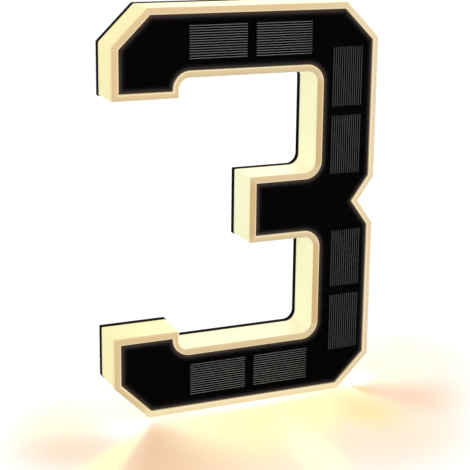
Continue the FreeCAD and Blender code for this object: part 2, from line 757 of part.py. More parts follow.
def panel_ribbon():
    """The flat cable between the two boards, folded twice, with its outer folds rounded."""
    ribbon = body("panel_ribbon", COLUMN_X, BOARD_BACK, "%s - ribbon_drop" % CONTROL_Z)
    half = "ribbon_thickness / 2"
    full = "(%s) - (%s)" % (CONTROL_FRONT, BOARD_BACK)
    near, far = "(%s) / 2 - %s" % (full, half), "(%s) / 2 + %s" % (full, half)
    strip(ribbon, "YZ_Plane", [
        ("0", "-" + half), (far, "-" + half, -1, 1), (far, "ribbon_rise - " + half),
        (full, "ribbon_rise - " + half), (full, "ribbon_rise + " + half),
        (near, "ribbon_rise + " + half, 1, -1), (near, half), ("0", half)],
        "ribbon_width", "ribbon_thickness")
    return ribbon


parts = [diffuser(), face_cover(), back_plate(), leds(), panel_tape(), rear_gasket(), reflector()]
board = slab(PANEL_INSET, BOARD_FRONT, BOARD_BACK)
board.Label = "solar_board"
parts.append(board)
parts += [solar_cell(name, *spot_and_turn) for name, spot_and_turn in CELLS.items()]
parts += [case_screws(), control_board(), board_components(), board_screws(), switch_body()]
parts += [switch_plunger(), button_cap(), button_seal(), battery(), battery_holder()]
parts += [battery_contacts(), holder_pad(), battery_straps(), panel_ribbon()]
doc.recompute()

for thing in doc.Objects:
    if "Invalid" in thing.State or "Error" in thing.State:
        raise RuntimeError("%s failed" % thing.Label)
os.makedirs("parts", exist_ok=True)
for part in parts:
    if part.Shape.isNull() or not part.Shape.isValid():
        raise RuntimeError("%s has no valid shape" % part.Label)
    part.Shape.exportStep("parts/%s.step" % part.Label)
    print("%-18s %2d solid(s) %10.1f mm3" % (part.Label, len(part.Shape.Solids), part.Shape.Volume))
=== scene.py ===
"""A lit house number: the finish of a figure-3 light box, made round its packed model.

Lengths are in metres in the frame of the packed model: X to the right, Y from the front to the
back and Z up, with the figure standing on Z = 0.  Tints are six-digit paint codes.
"""

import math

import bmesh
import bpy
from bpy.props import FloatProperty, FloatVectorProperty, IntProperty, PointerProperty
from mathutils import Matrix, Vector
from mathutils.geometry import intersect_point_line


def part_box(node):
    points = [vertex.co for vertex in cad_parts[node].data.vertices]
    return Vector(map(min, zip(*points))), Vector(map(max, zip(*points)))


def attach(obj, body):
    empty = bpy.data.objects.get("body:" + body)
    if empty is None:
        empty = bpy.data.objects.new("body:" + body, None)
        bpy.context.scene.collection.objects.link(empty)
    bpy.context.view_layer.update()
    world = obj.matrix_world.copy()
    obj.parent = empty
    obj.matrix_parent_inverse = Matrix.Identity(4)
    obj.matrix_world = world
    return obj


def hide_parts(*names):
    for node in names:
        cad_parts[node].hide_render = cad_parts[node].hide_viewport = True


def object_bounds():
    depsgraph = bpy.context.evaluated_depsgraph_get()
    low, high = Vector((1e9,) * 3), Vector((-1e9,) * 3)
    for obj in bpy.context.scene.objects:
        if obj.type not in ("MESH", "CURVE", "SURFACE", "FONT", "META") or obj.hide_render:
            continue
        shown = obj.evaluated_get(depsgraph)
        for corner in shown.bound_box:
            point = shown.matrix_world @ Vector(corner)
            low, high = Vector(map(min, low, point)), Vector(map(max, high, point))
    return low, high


bl_info = {
    "name": "Lit house number",
    "version": (1, 0, 0),
    "blender": (4, 5, 0),
    "location": "View3D > Sidebar > House number",
    "description": "Finishes a lit house number and sets the stage that it is looked at on",
    "category": "Object",
}

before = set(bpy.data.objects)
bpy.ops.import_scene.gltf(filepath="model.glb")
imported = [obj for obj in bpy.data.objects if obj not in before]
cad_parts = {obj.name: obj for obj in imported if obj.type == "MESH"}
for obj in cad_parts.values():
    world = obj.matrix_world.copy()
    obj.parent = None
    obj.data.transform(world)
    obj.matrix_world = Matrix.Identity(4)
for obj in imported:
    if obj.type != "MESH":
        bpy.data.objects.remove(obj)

MM = 0.001
WELD = 0.002 * MM  # corners closer than this are one corner
CAD_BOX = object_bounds()
FRONT = CAD_BOX[0].y
BACK = CAD_BOX[1].y
MIDDLE_Z = CAD_BOX[1].z / 2
CELL_NODES = sorted(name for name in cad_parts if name.startswith("cell_"))

VECTOR, FLOAT, COLOR, GEOMETRY, MATERIAL, OBJECT, INTEGER = (
    "NodeSocket" + kind for kind in ("Vector", "Float", "Color", "Geometry", "Material", "Object", "Int"))


def tint(code):
    """The light that a six-digit paint code gives back."""
    shares = [int(code[i:i + 2], 16) / 255 for i in (0, 2, 4)]
    return tuple(s / 12.92 if s <= 0.04045 else ((s + 0.055) / 1.055) ** 2.4 for s in shares)


def paint(name, description, code):
    """A tint that a user can change."""
    return FloatVectorProperty(name=name, description=description, subtype="COLOR", size=3,
                               min=0, max=1, default=tint(code))


def measure(name, description, size):
    """A length that a user can change."""
    return FloatProperty(name=name, description=description, unit="LENGTH", subtype="DISTANCE",
                         precision=6, min=0, default=size)


def share(name, description, value):
    """A share that a user can change."""
    return FloatProperty(name=name, description=description, subtype="FACTOR", min=0, max=1, default=value)


def power(name, description, watts):
    """The power of a lamp that a user can change."""
    return FloatProperty(name=name, description=description, unit="POWER", min=0, default=watts)


class DiffuserLook(bpy.types.PropertyGroup):
    """The milky shell and the light in it."""
    # Painted glow: the light from inside is painted on as emission in these tints, by place and by facing.
    # The rim's painted glow changes to the right, next to the floor and round the bays.
    rim: paint("Rim", "The front rim", "E7C998")
    rim_right: paint("Rim, right", "The front rim towards the right side", "EBD5B0")
    rim_foot_glow: paint("Rim, foot", "The front rim next to the floor", "FFEBBE")
    rim_bay: paint("Rim, bays", "The front rim along the bays", "DBB984")
    rim_bay_end: paint("Rim, bay ends", "The front rim over and under the bays", "E2C99C")
    # On the rounded edge: a painted highlight where it faces right, and painted light where it faces down.
    edge_right_highlight: paint("Edge, right", "The rounded edge of the rim where it faces right", "FFFBEA")
    edge_under: paint("Edge, under", "The rounded edge of the rim where it faces down", "DCCDA8")
    # A painted highlight on the step, with painted shade where it faces up.
    step: paint("Step", "The bevelled step between the rim and the panel", "FFEED0")
    step_up_shade: paint("Step, up", "The bevelled step where it faces up", "EBD3A7")
    # Painted glow on the side walls: more orange next to the rim and brighter in the two bays, with painted
    # shade where the walls and the bay floors face up.
    wall_front: paint("Wall, front", "The side wall next to the rim", "FFEAB0")
    wall: paint("Wall", "The outer side wall", "FFF5B8")
    wall_top_shade: paint("Wall, top", "What faces up outside the two bays", "F7ECB0")
    bay: paint("Bay", "The side wall inside the two bays", "FFFDD0")
    bay_floor_shade: paint("Bay floor", "What faces up inside the two bays", "FAEFC6")
    reflected: share("Reflected", "Share of each tint that outside light brings", 0.5)
    glow: share("Glow", "Share of each tint that comes from the light inside", 0.56)
    edge_round: measure("Edge round", "Radius of the rim's outer edge", 1.5 * MM)
    corner_round: measure("Corner round", "Radius of the upright corners", 0.6 * MM)


class PanelLook(bpy.types.PropertyGroup):
    """The front panel: board, cells and clear cover."""
    board: paint("Board", "The black board", "050403")
    silicon: paint("Silicon", "The solar cells", "08080A")
    finger: paint("Finger", "The printed lines of a level cell", "929294")
    # Painted shade: the lines on the upright cells are darker than on the level ones.
    finger_upright_shade: paint("Finger, upright", "The printed lines of an upright cell", "5E5E60")
    finger_count: IntProperty(name="Lines", description="Printed lines on each cell", min=2, default=14)
    finger_pitch: measure("Line pitch", "From one printed line to the next", 1.5 * MM)
    finger_length: measure("Line length", "Length of a printed line", 37.2 * MM)
    finger_width: measure("Line width", "Width of a printed line", 0.28 * MM)
    finger_thickness: measure("Line thickness", "How far a printed line stands up", 0.03 * MM)
    cover_haze: share("Cover haze", "How much of the clear cover is seen", 0.04)
    halo_haze: share("Halo haze", "How much of the cover's lit edge is seen", 0.5)
    halo_width: measure("Halo width", "How far light creeps into the cover", 5 * MM)
    halo_edge: paint("Halo, edge", "The cover right at its edge", "4C3A26")
    halo_near: paint("Halo, near", "The cover a millimetre from its edge", "3A322E")
    halo_far: paint("Halo, far", "The cover where the creeping light fades", "18181A")


class BackLook(bpy.types.PropertyGroup):
    """The black tray, its screws and its button."""
    # Painted light and shade by facing: the plate's edges darker and its back lighter.
    plate: paint("Plate", "The edge of the moulded back plate", "0D0A08")
    plate_back_lit: paint("Plate, back", "The back of the moulded back plate", "1D1B19")
    plate_round: measure("Plate edge", "Radius of the plate's back edges", 0.25 * MM)
    plate_corner: measure("Plate corner", "Radius of the plate's upright corners", 0.5 * MM)
    grain: measure("Grain", "Size of the moulded grain", 0.45 * MM)
    steel: paint("Steel", "The zinc plated screws", "9A9B9F")
    button: paint("Button", "The soft button", "2A2826")
    stem_radius: measure("Button radius", "Radius of the button where it comes through", 4.7 * MM)
    button_round: measure("Button round", "Radius of the button's edge", 0.5 * MM)
    dome: measure("Button dome", "How far the button's middle stands above its edge", 0.15 * MM)
    head_height: measure("Head height", "Height of a case screw's head", 1.9 * MM)
    shank_radius: measure("Shank radius", "Radius of a case screw's shank", 1.5 * MM)
    recess_width: measure("Recess width", "Width of a slot of the cross recess", 0.75 * MM)
    recess_depth: measure("Recess depth", "Depth of the cross recess", 1.1 * MM)


class InsideLook(bpy.types.PropertyGroup):
    """What the closed housing holds."""
    lamp_body: paint("Lamp body", "The package of a light source", "F4F1E6")
    phosphor: paint("Phosphor", "The lit window of a light source", "FFE9A0")
    lamp_foot: paint("Lamp feet", "The plated feet of a light source", "C9C6BE")
    window_radius: measure("Window radius", "Radius of a light source's window", 1.1 * MM)
    window_depth: measure("Window depth", "How far the window lies in its package", 0.15 * MM)
    lamp_bevel: measure("Lamp bevel", "Width of the bevel round a package", 0.12 * MM)
    foot_length: measure("Foot length", "Length of a light source's foot", 0.5 * MM)
    foot_thickness: measure("Foot thickness", "Thickness of a light source's foot", 0.25 * MM)
    tape: paint("Tape", "The adhesive ring", "D8D4C8")
    seal: paint("Seal", "The gasket and the button's seal", "2C2C2E")
    sheet: paint("Sheet", "The white reflecting sheet", "F4F4F0")
    solder_mask: paint("Solder mask", "The control board", "14532A")
    package: paint("Package", "Moulded parts on the control board", "1C1C1E")
    sleeve: paint("Sleeve", "The battery's shrink sleeve", "2F62A8")
    nickel: paint("Nickel", "The battery's contacts and straps", "B8B4A8")
    insulation: paint("Insulation", "The flat cable", "8A8A8C")


class StageLook(bpy.types.PropertyGroup):
    """The floor, the lamps and the camera."""
    camera_place: FloatVectorProperty(name="Camera place", description="Where the camera stands",
                                      subtype="TRANSLATION", unit="LENGTH", size=3,
                                      default=(-0.32917, -0.76415, 0.34224))
    camera_turn: FloatVectorProperty(name="Camera turn", description="How the camera is turned",
                                     subtype="EULER", unit="ROTATION", size=3,
                                     default=tuple(math.radians(a) for a in (75.8812, -1.0321, -24.4657)))
    lens: FloatProperty(name="Lens", description="Focal length in millimetres", min=1, default=104.858)
    shift: FloatProperty(name="Shift", default=-0.08,
                         description="Lens shift to the right and up, as a share of the picture")
    surroundings: FloatProperty(name="Surroundings", description="Strength of the light all round",
                                min=0, default=0.72)
    key_power: power("Key lamp", "Power of the front lamp in watts", 3.0)
    fill_power: power("Fill lamp", "Power of the right lamp in watts", 1.2)
    rear_power: power("Rear lamp", "Power of the lamp behind in watts", 3.0)
    floor_reflected: share("Floor reflected", "Share of white that the floor gives back", 0.42)
    floor_white: share("Floor white", "White added to the floor as it is seen", 0.72)
    # Painted white light close to the figure, which lightens its shadow there.
    foot_painted_white: share("Foot white", "White added once more close to the figure", 0.2)


LOOKS = {
    "number_diffuser": DiffuserLook,
    "number_panel": PanelLook,
    "number_back": BackLook,
    "number_inside": InsideLook,
    "number_stage": StageLook,
}


# Node trees.

def solid(colour):
    """A plain colour with its alpha, or a socket as it is."""
    return colour if isinstance(colour, bpy.types.NodeSocket) else (*colour[:3], 1)


class Net:
    """A node tree, with short ways to add what the finishes and shapes are made of."""

    def __init__(self, tree):
        self.tree = tree

    def link(self, source, target):
        """Joins two sockets."""
        self.tree.links.new(source, target)

    def add(self, kind, given=None, **settings):
        """A node.  `given` maps inputs, by name or number, to values or to sockets that feed them."""
        node = self.tree.nodes.new(kind)
        for name, value in settings.items():
            setattr(node, name, value)
        for key, value in (given or {}).items():
            if isinstance(value, bpy.types.NodeSocket):
                self.link(value, node.inputs[key])
            else:
                node.inputs[key].default_value = value
        return node

    def use(self, name, **given):
        """What a shader group puts out."""
        return self.add("ShaderNodeGroup", given, node_tree=bpy.data.node_groups[name]).outputs

    def split(self, vector):
        """The three parts of a vector."""
        return self.add("ShaderNodeSeparateXYZ", {0: vector}).outputs

    def sweep(self, value, start, end, low=0.0, high=1.0):
        """A soft change from low to high as a value goes from start to end."""
        given = {"Value": value, "From Min": start, "From Max": end, "To Min": low, "To Max": high}
        return self.add("ShaderNodeMapRange", given, interpolation_type="SMOOTHSTEP").outputs["Result"]

    def math(self, operation, first, second=0.0):
        """A sum, quotient or the like of two values."""
        return self.add("ShaderNodeMath", {0: first, 1: second}, operation=operation).outputs[0]

    def times(self, first, second):
        """The product of two values."""
        return self.math("MULTIPLY", first, second)

    def vector(self, operation, given, output="Vector"):
        """A vector or a length made from other vectors."""
        return self.add("ShaderNodeVectorMath", given, operation=operation).outputs[output]

    def mixed(self, mask, first, second, kind="MIX"):
        """The first colour where the mask is 0 and the second where it is 1."""
        # A Mix node has its two colours at the inputs 6 and 7, and its mixed colour at the output 2.
        given = {0: mask, 6: solid(first), 7: solid(second)}
        return self.add("ShaderNodeMix", given, data_type="RGBA", blend_type=kind).outputs[2]

    def scaled(self, colour, by):
        """A colour made darker by a plain share."""
        return self.mixed(1.0, colour, (by, by, by), "MULTIPLY")

    def ramp(self, value, stops):
        """Colours at places from 0 to 1."""
        node = self.add("ShaderNodeValToRGB", {0: value})
        node.color_ramp.interpolation = "EASE"
        marks = node.color_ramp.elements
        for mark, (position, colour) in zip(marks, (stops[0], stops[-1])):
            mark.position, mark.color = position, solid(colour)
        for position, colour in stops[1:-1]:
            marks.new(position).color = solid(colour)
        return node.outputs["Color"]

    def cloud(self, place, scale, detail):
        """Soft noise from 0 to 1."""
        given = {"Vector": place, "Scale": scale, "Detail": detail}
        return self.add("ShaderNodeTexNoise", given).outputs["Fac"]

    def bump(self, height, distance, strength):
        """A normal made from a height."""
        given = {"Height": height, "Distance": distance, "Strength": strength}
        return self.add("ShaderNodeBump", given).outputs["Normal"]

    def painted(self, name):
        """A number that the mesh carries on its corners or faces."""
        return self.add("ShaderNodeAttribute", attribute_name=name).outputs["Fac"]

    def seen_by_eye(self):
        """1 for what the camera sees, by itself or in metal or glass, and 0 for what lights the figure."""
        path = self.add("ShaderNodeLightPath").outputs
        plain = self.math("MAXIMUM", path["Is Camera Ray"], path["Is Glossy Ray"])
        return self.math("MAXIMUM", plain, path["Is Transmission Ray"])


def new_tree(name, kind, inputs, outputs):
    """An empty node group and its two ends.  A socket's name goes with its kind or with a plain default."""
    tree = bpy.data.node_groups.new(name, kind)
    for way, sockets in (("INPUT", inputs), ("OUTPUT", outputs)):
        for word, value in sockets.items():
            plain = isinstance(value, float)
            socket = tree.interface.new_socket(name=word, in_out=way, socket_type=FLOAT if plain else value)
            if plain:
                socket.default_value = value
    return Net(tree), tree.nodes.new("NodeGroupInput").outputs, tree.nodes.new("NodeGroupOutput").inputs


def shader_group(name, outputs, **inputs):
    """An empty shader group that takes a place and other inputs, and its two ends."""
    return new_tree(name, "ShaderNodeTree", {"Place": VECTOR, **inputs}, outputs)


# Effects that the finishes share.

def make_moulded_grain():
    """Fine pimples of a spark-eroded mould, with the roughness that goes with them."""
    net, given, made = shader_group("moulded_grain", {"Height": FLOAT, "Roughness": FLOAT},
                                    Size=0.4 * MM, Roughness=0.5, Spread=0.1)
    scale = net.math("DIVIDE", 1.0, given["Size"])
    cells = {"Vector": given["Place"], "Scale": scale}
    pimples = net.add("ShaderNodeTexVoronoi", cells, feature="SMOOTH_F1").outputs["Distance"]
    height = net.math("ADD", pimples, net.cloud(given["Place"], scale, detail=3.0))
    patches_in_a_metre = 90.0
    swing = net.math("SUBTRACT", net.cloud(given["Place"], patches_in_a_metre, detail=2.0), 0.5)
    rougher = net.math("ADD", given["Roughness"], net.times(swing, given["Spread"]))
    net.link(height, made["Height"])
    net.link(rougher, made["Roughness"])


def make_soft_drift():
    """A slow drift of a colour, as in dyed plastic that flowed into its mould."""
    net, given, made = shader_group("soft_drift", {"Color": COLOR}, Color=COLOR, Size=30 * MM, Amount=0.04)
    scale = net.math("DIVIDE", 1.0, given["Size"])
    swing = net.math("SUBTRACT", net.cloud(given["Place"], scale, detail=2.0), 0.5)
    factor = net.math("ADD", net.times(net.times(swing, given["Amount"]), 2.0), 1.0)
    net.link(net.vector("SCALE", {0: given["Color"], "Scale": factor}), made["Color"])


def make_handling_marks():
    """Fine hairlines and dull patches left by hands and cloths."""
    net, given, made = shader_group("handling_marks", {"Roughness": FLOAT, "Mask": FLOAT},
                                    Roughness=0.3, Amount=0.1)
    hairline_turn, hairline_squeeze = (0.3, 0.5, 0.9), (1.0, 1.0, 14.0)
    hairlines_in_a_metre, patches_in_a_metre = 160.0, 45.0
    hairline_cut, patch_cut = (0.52, 0.72), (0.35, 0.65)
    squeezed = net.add("ShaderNodeMapping", {
        "Vector": given["Place"], "Rotation": hairline_turn, "Scale": hairline_squeeze}).outputs[0]
    hairlines = net.sweep(net.cloud(squeezed, hairlines_in_a_metre, detail=3.0), *hairline_cut)
    patches = net.sweep(net.cloud(given["Place"], patches_in_a_metre, detail=2.0), *patch_cut)
    mask = net.times(hairlines, patches)
    rougher = net.math("ADD", given["Roughness"], net.times(mask, given["Amount"]))
    net.link(rougher, made["Roughness"])
    net.link(mask, made["Mask"])


def turned_from(net, given, start):
    """The way from a named start to a place, and the same way after a turn about Z."""
    way = net.vector("SUBTRACT", {0: given["Place"], 1: given[start]})
    aimed = {"Vector": way, "Angle": given["Turn"]}
    return way, net.add("ShaderNodeVectorRotate", aimed, rotation_type="Z_AXIS").outputs[0]


def make_soft_spot():
    """A soft oval on the floor: 1 in its middle and 0 past its edge."""
    net, given, made = shader_group("soft_spot", {"Mask": FLOAT}, Middle=VECTOR, Turn=0.0, Reach=VECTOR)
    shrunk = net.vector("DIVIDE", {0: turned_from(net, given, "Middle")[1], 1: given["Reach"]})
    reach = net.vector("LENGTH", {0: shrunk}, "Value")
    net.link(net.sweep(reach, 1.0, 0.0), made["Mask"])


def make_light_ray():
    """A ray that fans out on the floor from a corner, with its ridge a third of the way across."""
    net, given, made = shader_group("light_ray", {"Mask": FLOAT},
                                    Corner=VECTOR, Turn=0.0, Spread=1.0, Reach=0.1)
    ridge, grown_by, fades_from = 0.34, 0.2, 0.45
    way, aimed = turned_from(net, given, "Corner")
    parts = net.split(aimed)
    aside = net.math("DIVIDE", net.math("ARCTAN2", parts["Y"], parts["X"]), given["Spread"])
    across = net.times(net.sweep(aside, 0.0, ridge), net.sweep(aside, 1.0, ridge))
    along = net.math("DIVIDE", net.vector("LENGTH", {0: way}, "Value"), given["Reach"])
    faded = net.times(net.sweep(along, 0.0, grown_by), net.sweep(along, 1.0, fades_from))
    net.link(net.times(across, faded), made["Mask"])


# Meshes.

def welded(node):
    """A copy of a node's mesh with its loose triangles joined and its flat faces whole."""
    shape = bmesh.new()
    shape.from_mesh(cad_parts[node].data)
    bmesh.ops.remove_doubles(shape, verts=shape.verts, dist=WELD)
    bmesh.ops.dissolve_limit(shape, angle_limit=math.radians(0.2), verts=shape.verts, edges=shape.edges)
    shape.normal_update()
    return shape


def islands(node):
    """The lowest and highest corner of each separate solid of a node."""
    shape = welded(node)
    left = set(shape.verts)
    boxes = []
    while left:
        found, edge = set(), [left.pop()]
        while edge:
            vertex = edge.pop()
            found.add(vertex)
            edge += [other for link in vertex.link_edges if (other := link.other_vert(vertex)) not in found]
        left -= found
        boxes.append(tuple(Vector([pick(v.co[i] for v in found) for i in range(3)]) for pick in (min, max)))
    shape.free()
    return sorted(boxes, key=lambda box: tuple(box[0]))


def middle_at(box, y):
    """The middle of a box, moved to a depth."""
    low, high = box
    return Vector(((low.x + high.x) / 2, y, (low.z + high.z) / 2))


def sharp_edges(shape, least_turn, wanted):
    """Outward edges that turn by more than an angle in degrees and meet a test."""
    return [edge for edge in shape.edges
            if edge.is_manifold and edge.is_convex and edge.calc_face_angle() > math.radians(least_turn)
            and wanted(edge)]


def rounded(shape, edges, radius, segments=2):
    """Rounds edges of a mesh and gives back the new faces."""
    return bmesh.ops.bevel(shape, geom=edges, offset=radius, offset_type="OFFSET", segments=segments,
                           profile=0.5, affect="EDGES", clamp_overlap=True)["faces"]


def runs_back(edge, depth):
    """Whether an edge runs straight back over a whole depth."""
    way = edge.verts[0].co - edge.verts[1].co
    return abs(way.y) > depth - WELD and abs(way.x) + abs(way.z) < WELD


def changes_depth(edge):
    """Whether an edge goes from one depth to another."""
    return abs(edge.verts[0].co.y - edge.verts[1].co.y) > WELD


def lies_at(part, y):
    """Whether an edge or a face lies at a depth."""
    return all(abs(vertex.co.y - y) < WELD for vertex in part.verts)


def mesh_of(name, shape):
    """A plain mesh made from a working mesh, which is then freed."""
    mesh = bpy.data.meshes.new(name)
    shape.to_mesh(mesh)
    shape.free()
    return mesh


def object_of(name, mesh, finish):
    """An object made from a mesh, with its finish and with smooth curves between flat faces."""
    mesh.materials.clear()
    mesh.materials.append(finish)
    mesh.shade_smooth()
    mesh.set_sharp_from_angle(angle=math.radians(35))
    piece = bpy.data.objects.new(name, mesh)
    bpy.context.scene.collection.objects.link(piece)
    return piece


def seat(piece, body, slot, *stands_for):
    """Puts a finished piece on its body and in place of its nodes.  Its slot is not used."""
    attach(piece, body)
    if stands_for:
        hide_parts(*stands_for)


def dress(finish, *nodes):
    """Gives nodes a finish."""
    for node in nodes:
        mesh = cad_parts[node].data
        mesh.materials.clear()
        mesh.materials.append(finish)


def turned(section, steps=48):
    """A shape turned about the Y axis from (radius, y) points, closed at the axis."""
    shape = bmesh.new()
    verts = [shape.verts.new((radius, y, 0)) for radius, y in section]
    edges = [shape.edges.new(pair) for pair in zip(verts, verts[1:])]
    bmesh.ops.spin(shape, geom=verts + edges, cent=(0, 0, 0), axis=(0, 1, 0), steps=steps,
                   angle=math.tau, use_merge=True)
    bmesh.ops.remove_doubles(shape, verts=shape.verts, dist=WELD)
    bmesh.ops.recalc_face_normals(shape, faces=shape.faces)
    return shape


def settled(holder):
    """The plain mesh of an object with live modifiers, which is then removed."""
    depsgraph = bpy.context.evaluated_depsgraph_get()
    mesh = bpy.data.meshes.new_from_object(holder.evaluated_get(depsgraph), depsgraph=depsgraph)
    mesh.name = holder.name
    bpy.data.objects.remove(holder)
    return mesh


def grown(name, points, tree, given):
    """The plain mesh that a tree makes on a few points."""
    holder = bpy.data.objects.new(name, points)
    bpy.context.scene.collection.objects.link(holder)
    modifier = holder.modifiers.new(name, "NODES")
    modifier.node_group = tree
    for item in tree.interface.items_tree:
        if item.in_out == "INPUT" and item.name in given:
            modifier[item.identifier] = given[item.name]
    return settled(holder)


def geometry_tree(name, **inputs):
    """An empty geometry tree that takes points, a material and other inputs, and its two ends."""
    given_in = {"Points": GEOMETRY, "Material": MATERIAL, **inputs}
    net, given, made = new_tree(name, "GeometryNodeTree", given_in, {"Mesh": GEOMETRY})
    net.tree.is_modifier = True
    return net, given, made


def finish_tree(net, given, made, instances):
    """Ends a geometry tree, real meshes in their material, and gives it."""
    real = net.add("GeometryNodeRealizeInstances", {"Geometry": instances}).outputs[0]
    coated = net.add("GeometryNodeSetMaterial", {"Geometry": real, "Material": given["Material"]})
    net.link(coated.outputs[0], made["Mesh"])
    return net.tree


def marked_points(places, marks=None):
    """A mesh of loose points, with a number on each if there are marks."""
    mesh = bpy.data.meshes.new("places")
    mesh.from_pydata([tuple(place) for place in places], [], [])
    if marks:
        mesh.attributes.new("upright", "FLOAT", "POINT").data.foreach_set("value", marks)
    return mesh


# Finishes.

class Finish(Net):
    """A new material: its shader, with plain values on the shader's own sockets, and its object places."""

    def __init__(self, name, plain=None):
        self.made = bpy.data.materials.new(name)
        self.made.use_nodes = True
        super().__init__(self.made.node_tree)
        self.tree.nodes.clear()
        self.shader = self.add("ShaderNodeBsdfPrincipled", plain)
        self.add("ShaderNodeOutputMaterial", {"Surface": self.shader.outputs[0]})
        coords = self.add("ShaderNodeTexCoord").outputs
        self.place, self.facing = coords["Object"], coords["Normal"]

    def grained(self, size, roughness, spread):
        """The height and the roughness of moulded grain."""
        return self.use("moulded_grain", Place=self.place, Size=size, Roughness=roughness, Spread=spread)

    def drifted(self, colour, size, amount):
        """A colour with a slow drift in it."""
        drift = self.use("soft_drift", Place=self.place, Color=solid(colour), Size=size, Amount=amount)
        return drift["Color"]

    def handled(self, roughness, amount):
        """A roughness with the marks of handling, and the mask of the marks."""
        return self.use("handling_marks", Place=self.place, Roughness=roughness, Amount=amount)

    def feed(self, **sockets):
        """Links sockets to the shader's inputs, named with _ for a space, and gives the material."""
        for name, socket in sockets.items():
            self.link(socket, self.shader.inputs[name.replace("_", " ")])
        return self.made


# Where the tints of the diffuser's painted glow come in: each pair runs from none of a tint to all of it.
# X is from the middle of the figure, a depth from its front, and a height up or down from the middle of its
# middle arm.
FOOT = (12 * MM, 1 * MM)
WALL_DEPTH, STEP_DEPTH, RIM_DEPTH = (0.0, 9 * MM), (1.2 * MM, 0.7 * MM), (0.2 * MM, 0.1 * MM)
RIM_RIGHT = (30 * MM, 80 * MM)
BAY_LEFT, BAY_RIGHT, BAY_HEIGHT = (-52 * MM, -38 * MM), (60 * MM, 50 * MM), (96 * MM, 86 * MM)
BAY_SIDE_LOW, BAY_SIDE_HIGH, ARM_END = (22 * MM, 28 * MM), (82 * MM, 76 * MM), (19 * MM, 15 * MM)
# The same for how far a surface faces up (Z), to the right (X) or forward (-Y), for painted light and shade
# by facing.
WALL_UP, STEP_UP, EDGE_DOWN, EDGE_RIGHT = (0.3, 0.95), (0.3, 0.5), (-0.15, -0.5), (0.1, 0.4)
STEP_FORWARD, RIM_FORWARD, EDGE_FORWARD = (-0.5, -0.75), (-0.93, -0.99), (-0.1, -0.4)
# Painted shade: the rounded edge is a little darker than the rim beside it.
PAINTED_EDGE_SHADE = 0.97  # the rounded edge beside the rim's own tint


def milky_plastic(look):
    """Milky plastic whose light from inside is painted on as emission: tan on the rim, bright on the step
    and the side walls.
    """
    net = Finish("milky_plastic", {"Specular IOR Level": 0.25, "Emission Strength": 1.0})
    at, facing = net.split(net.place), net.split(net.facing)
    depth = net.math("SUBTRACT", at["Y"], FRONT)
    height = net.math("ABSOLUTE", net.math("SUBTRACT", at["Z"], MIDDLE_Z))
    foot = net.sweep(at["Z"], *FOOT)
    upward = net.sweep(facing["Z"], *WALL_UP)
    across = net.times(net.sweep(at["X"], *BAY_LEFT), net.sweep(at["X"], *BAY_RIGHT))
    bay = net.times(across, net.sweep(height, *BAY_HEIGHT))
    bay_side = net.times(net.sweep(height, *BAY_SIDE_LOW), net.sweep(height, *BAY_SIDE_HIGH))

    # Painted glow on the walls, changing with depth and brighter in the bays, with painted shade where they
    # face up.
    colour = net.ramp(net.sweep(depth, *WALL_DEPTH), [(0, look.wall_front), (1, look.wall)])
    colour = net.mixed(upward, colour, look.wall_top_shade)
    colour = net.mixed(bay, colour, look.bay)
    colour = net.mixed(net.times(bay, upward), colour, look.bay_floor_shade)

    # A painted highlight on the step, with painted shade where it faces up.
    step = net.mixed(net.sweep(facing["Z"], *STEP_UP), look.step, look.step_up_shade)
    on_step = net.times(net.sweep(depth, *STEP_DEPTH), net.sweep(facing["Y"], *STEP_FORWARD))
    colour = net.mixed(on_step, colour, net.mixed(foot, step, look.step))

    # The rim's painted glow, changing to the right, next to the floor and round the bays.
    beside_bay = net.math("ADD", bay_side, net.sweep(height, *ARM_END))
    rim = net.mixed(net.sweep(at["X"], *RIM_RIGHT), look.rim, look.rim_right)
    rim = net.mixed(bay, rim, net.mixed(beside_bay, look.rim_bay_end, look.rim_bay))
    rim = net.mixed(foot, rim, look.rim_foot_glow)
    on_rim = net.times(net.sweep(facing["Y"], *RIM_FORWARD), net.sweep(depth, *RIM_DEPTH))
    colour = net.mixed(on_rim, colour, rim)

    # The rounded edge: painted shade beside the rim, painted light where it faces down, a painted highlight
    # where it faces right.
    under = net.times(net.sweep(facing["Z"], *EDGE_DOWN), net.math("SUBTRACT", 1.0, foot))
    edge = net.mixed(under, net.scaled(rim, PAINTED_EDGE_SHADE), look.edge_under)
    edge = net.mixed(net.sweep(facing["X"], *EDGE_RIGHT), edge, look.edge_right_highlight)
    on_edge = net.times(net.painted("rounding"), net.sweep(facing["Y"], *EDGE_FORWARD))
    colour = net.drifted(net.mixed(on_edge, colour, edge), size=24 * MM, amount=0.03)

    grain = net.grained(size=0.5 * MM, roughness=0.42, spread=0.12)
    # The same tints, partly as the plastic's colour and partly as painted glow.
    return net.feed(Base_Color=net.scaled(colour, look.reflected), Roughness=grain["Roughness"],
                    Emission_Color=net.scaled(colour, look.glow),
                    Normal=net.bump(grain["Height"], distance=0.02 * MM, strength=0.5))


def clear_plastic(look):
    """The clear cover, with light creeping in from its edge."""
    net = Finish("clear_plastic", {
        "Base Color": solid(tint("050505")), "Specular IOR Level": 0.0, "Emission Strength": 1.0})
    way_in = net.math("DIVIDE", net.painted("inward"), look.halo_width)
    halo = net.ramp(way_in, [
        (0.0, look.halo_edge), (0.22, look.halo_near), (0.6, look.halo_far), (1.0, (0, 0, 0))])
    seen = net.sweep(way_in, 0.0, 1.0, look.halo_haze, look.cover_haze)
    glow = net.vector("MULTIPLY", {0: halo, 1: (1 / look.halo_haze,) * 3})
    marks = net.handled(roughness=0.16, amount=0.25)
    return net.feed(Emission_Color=glow, Alpha=seen, Roughness=marks["Roughness"])


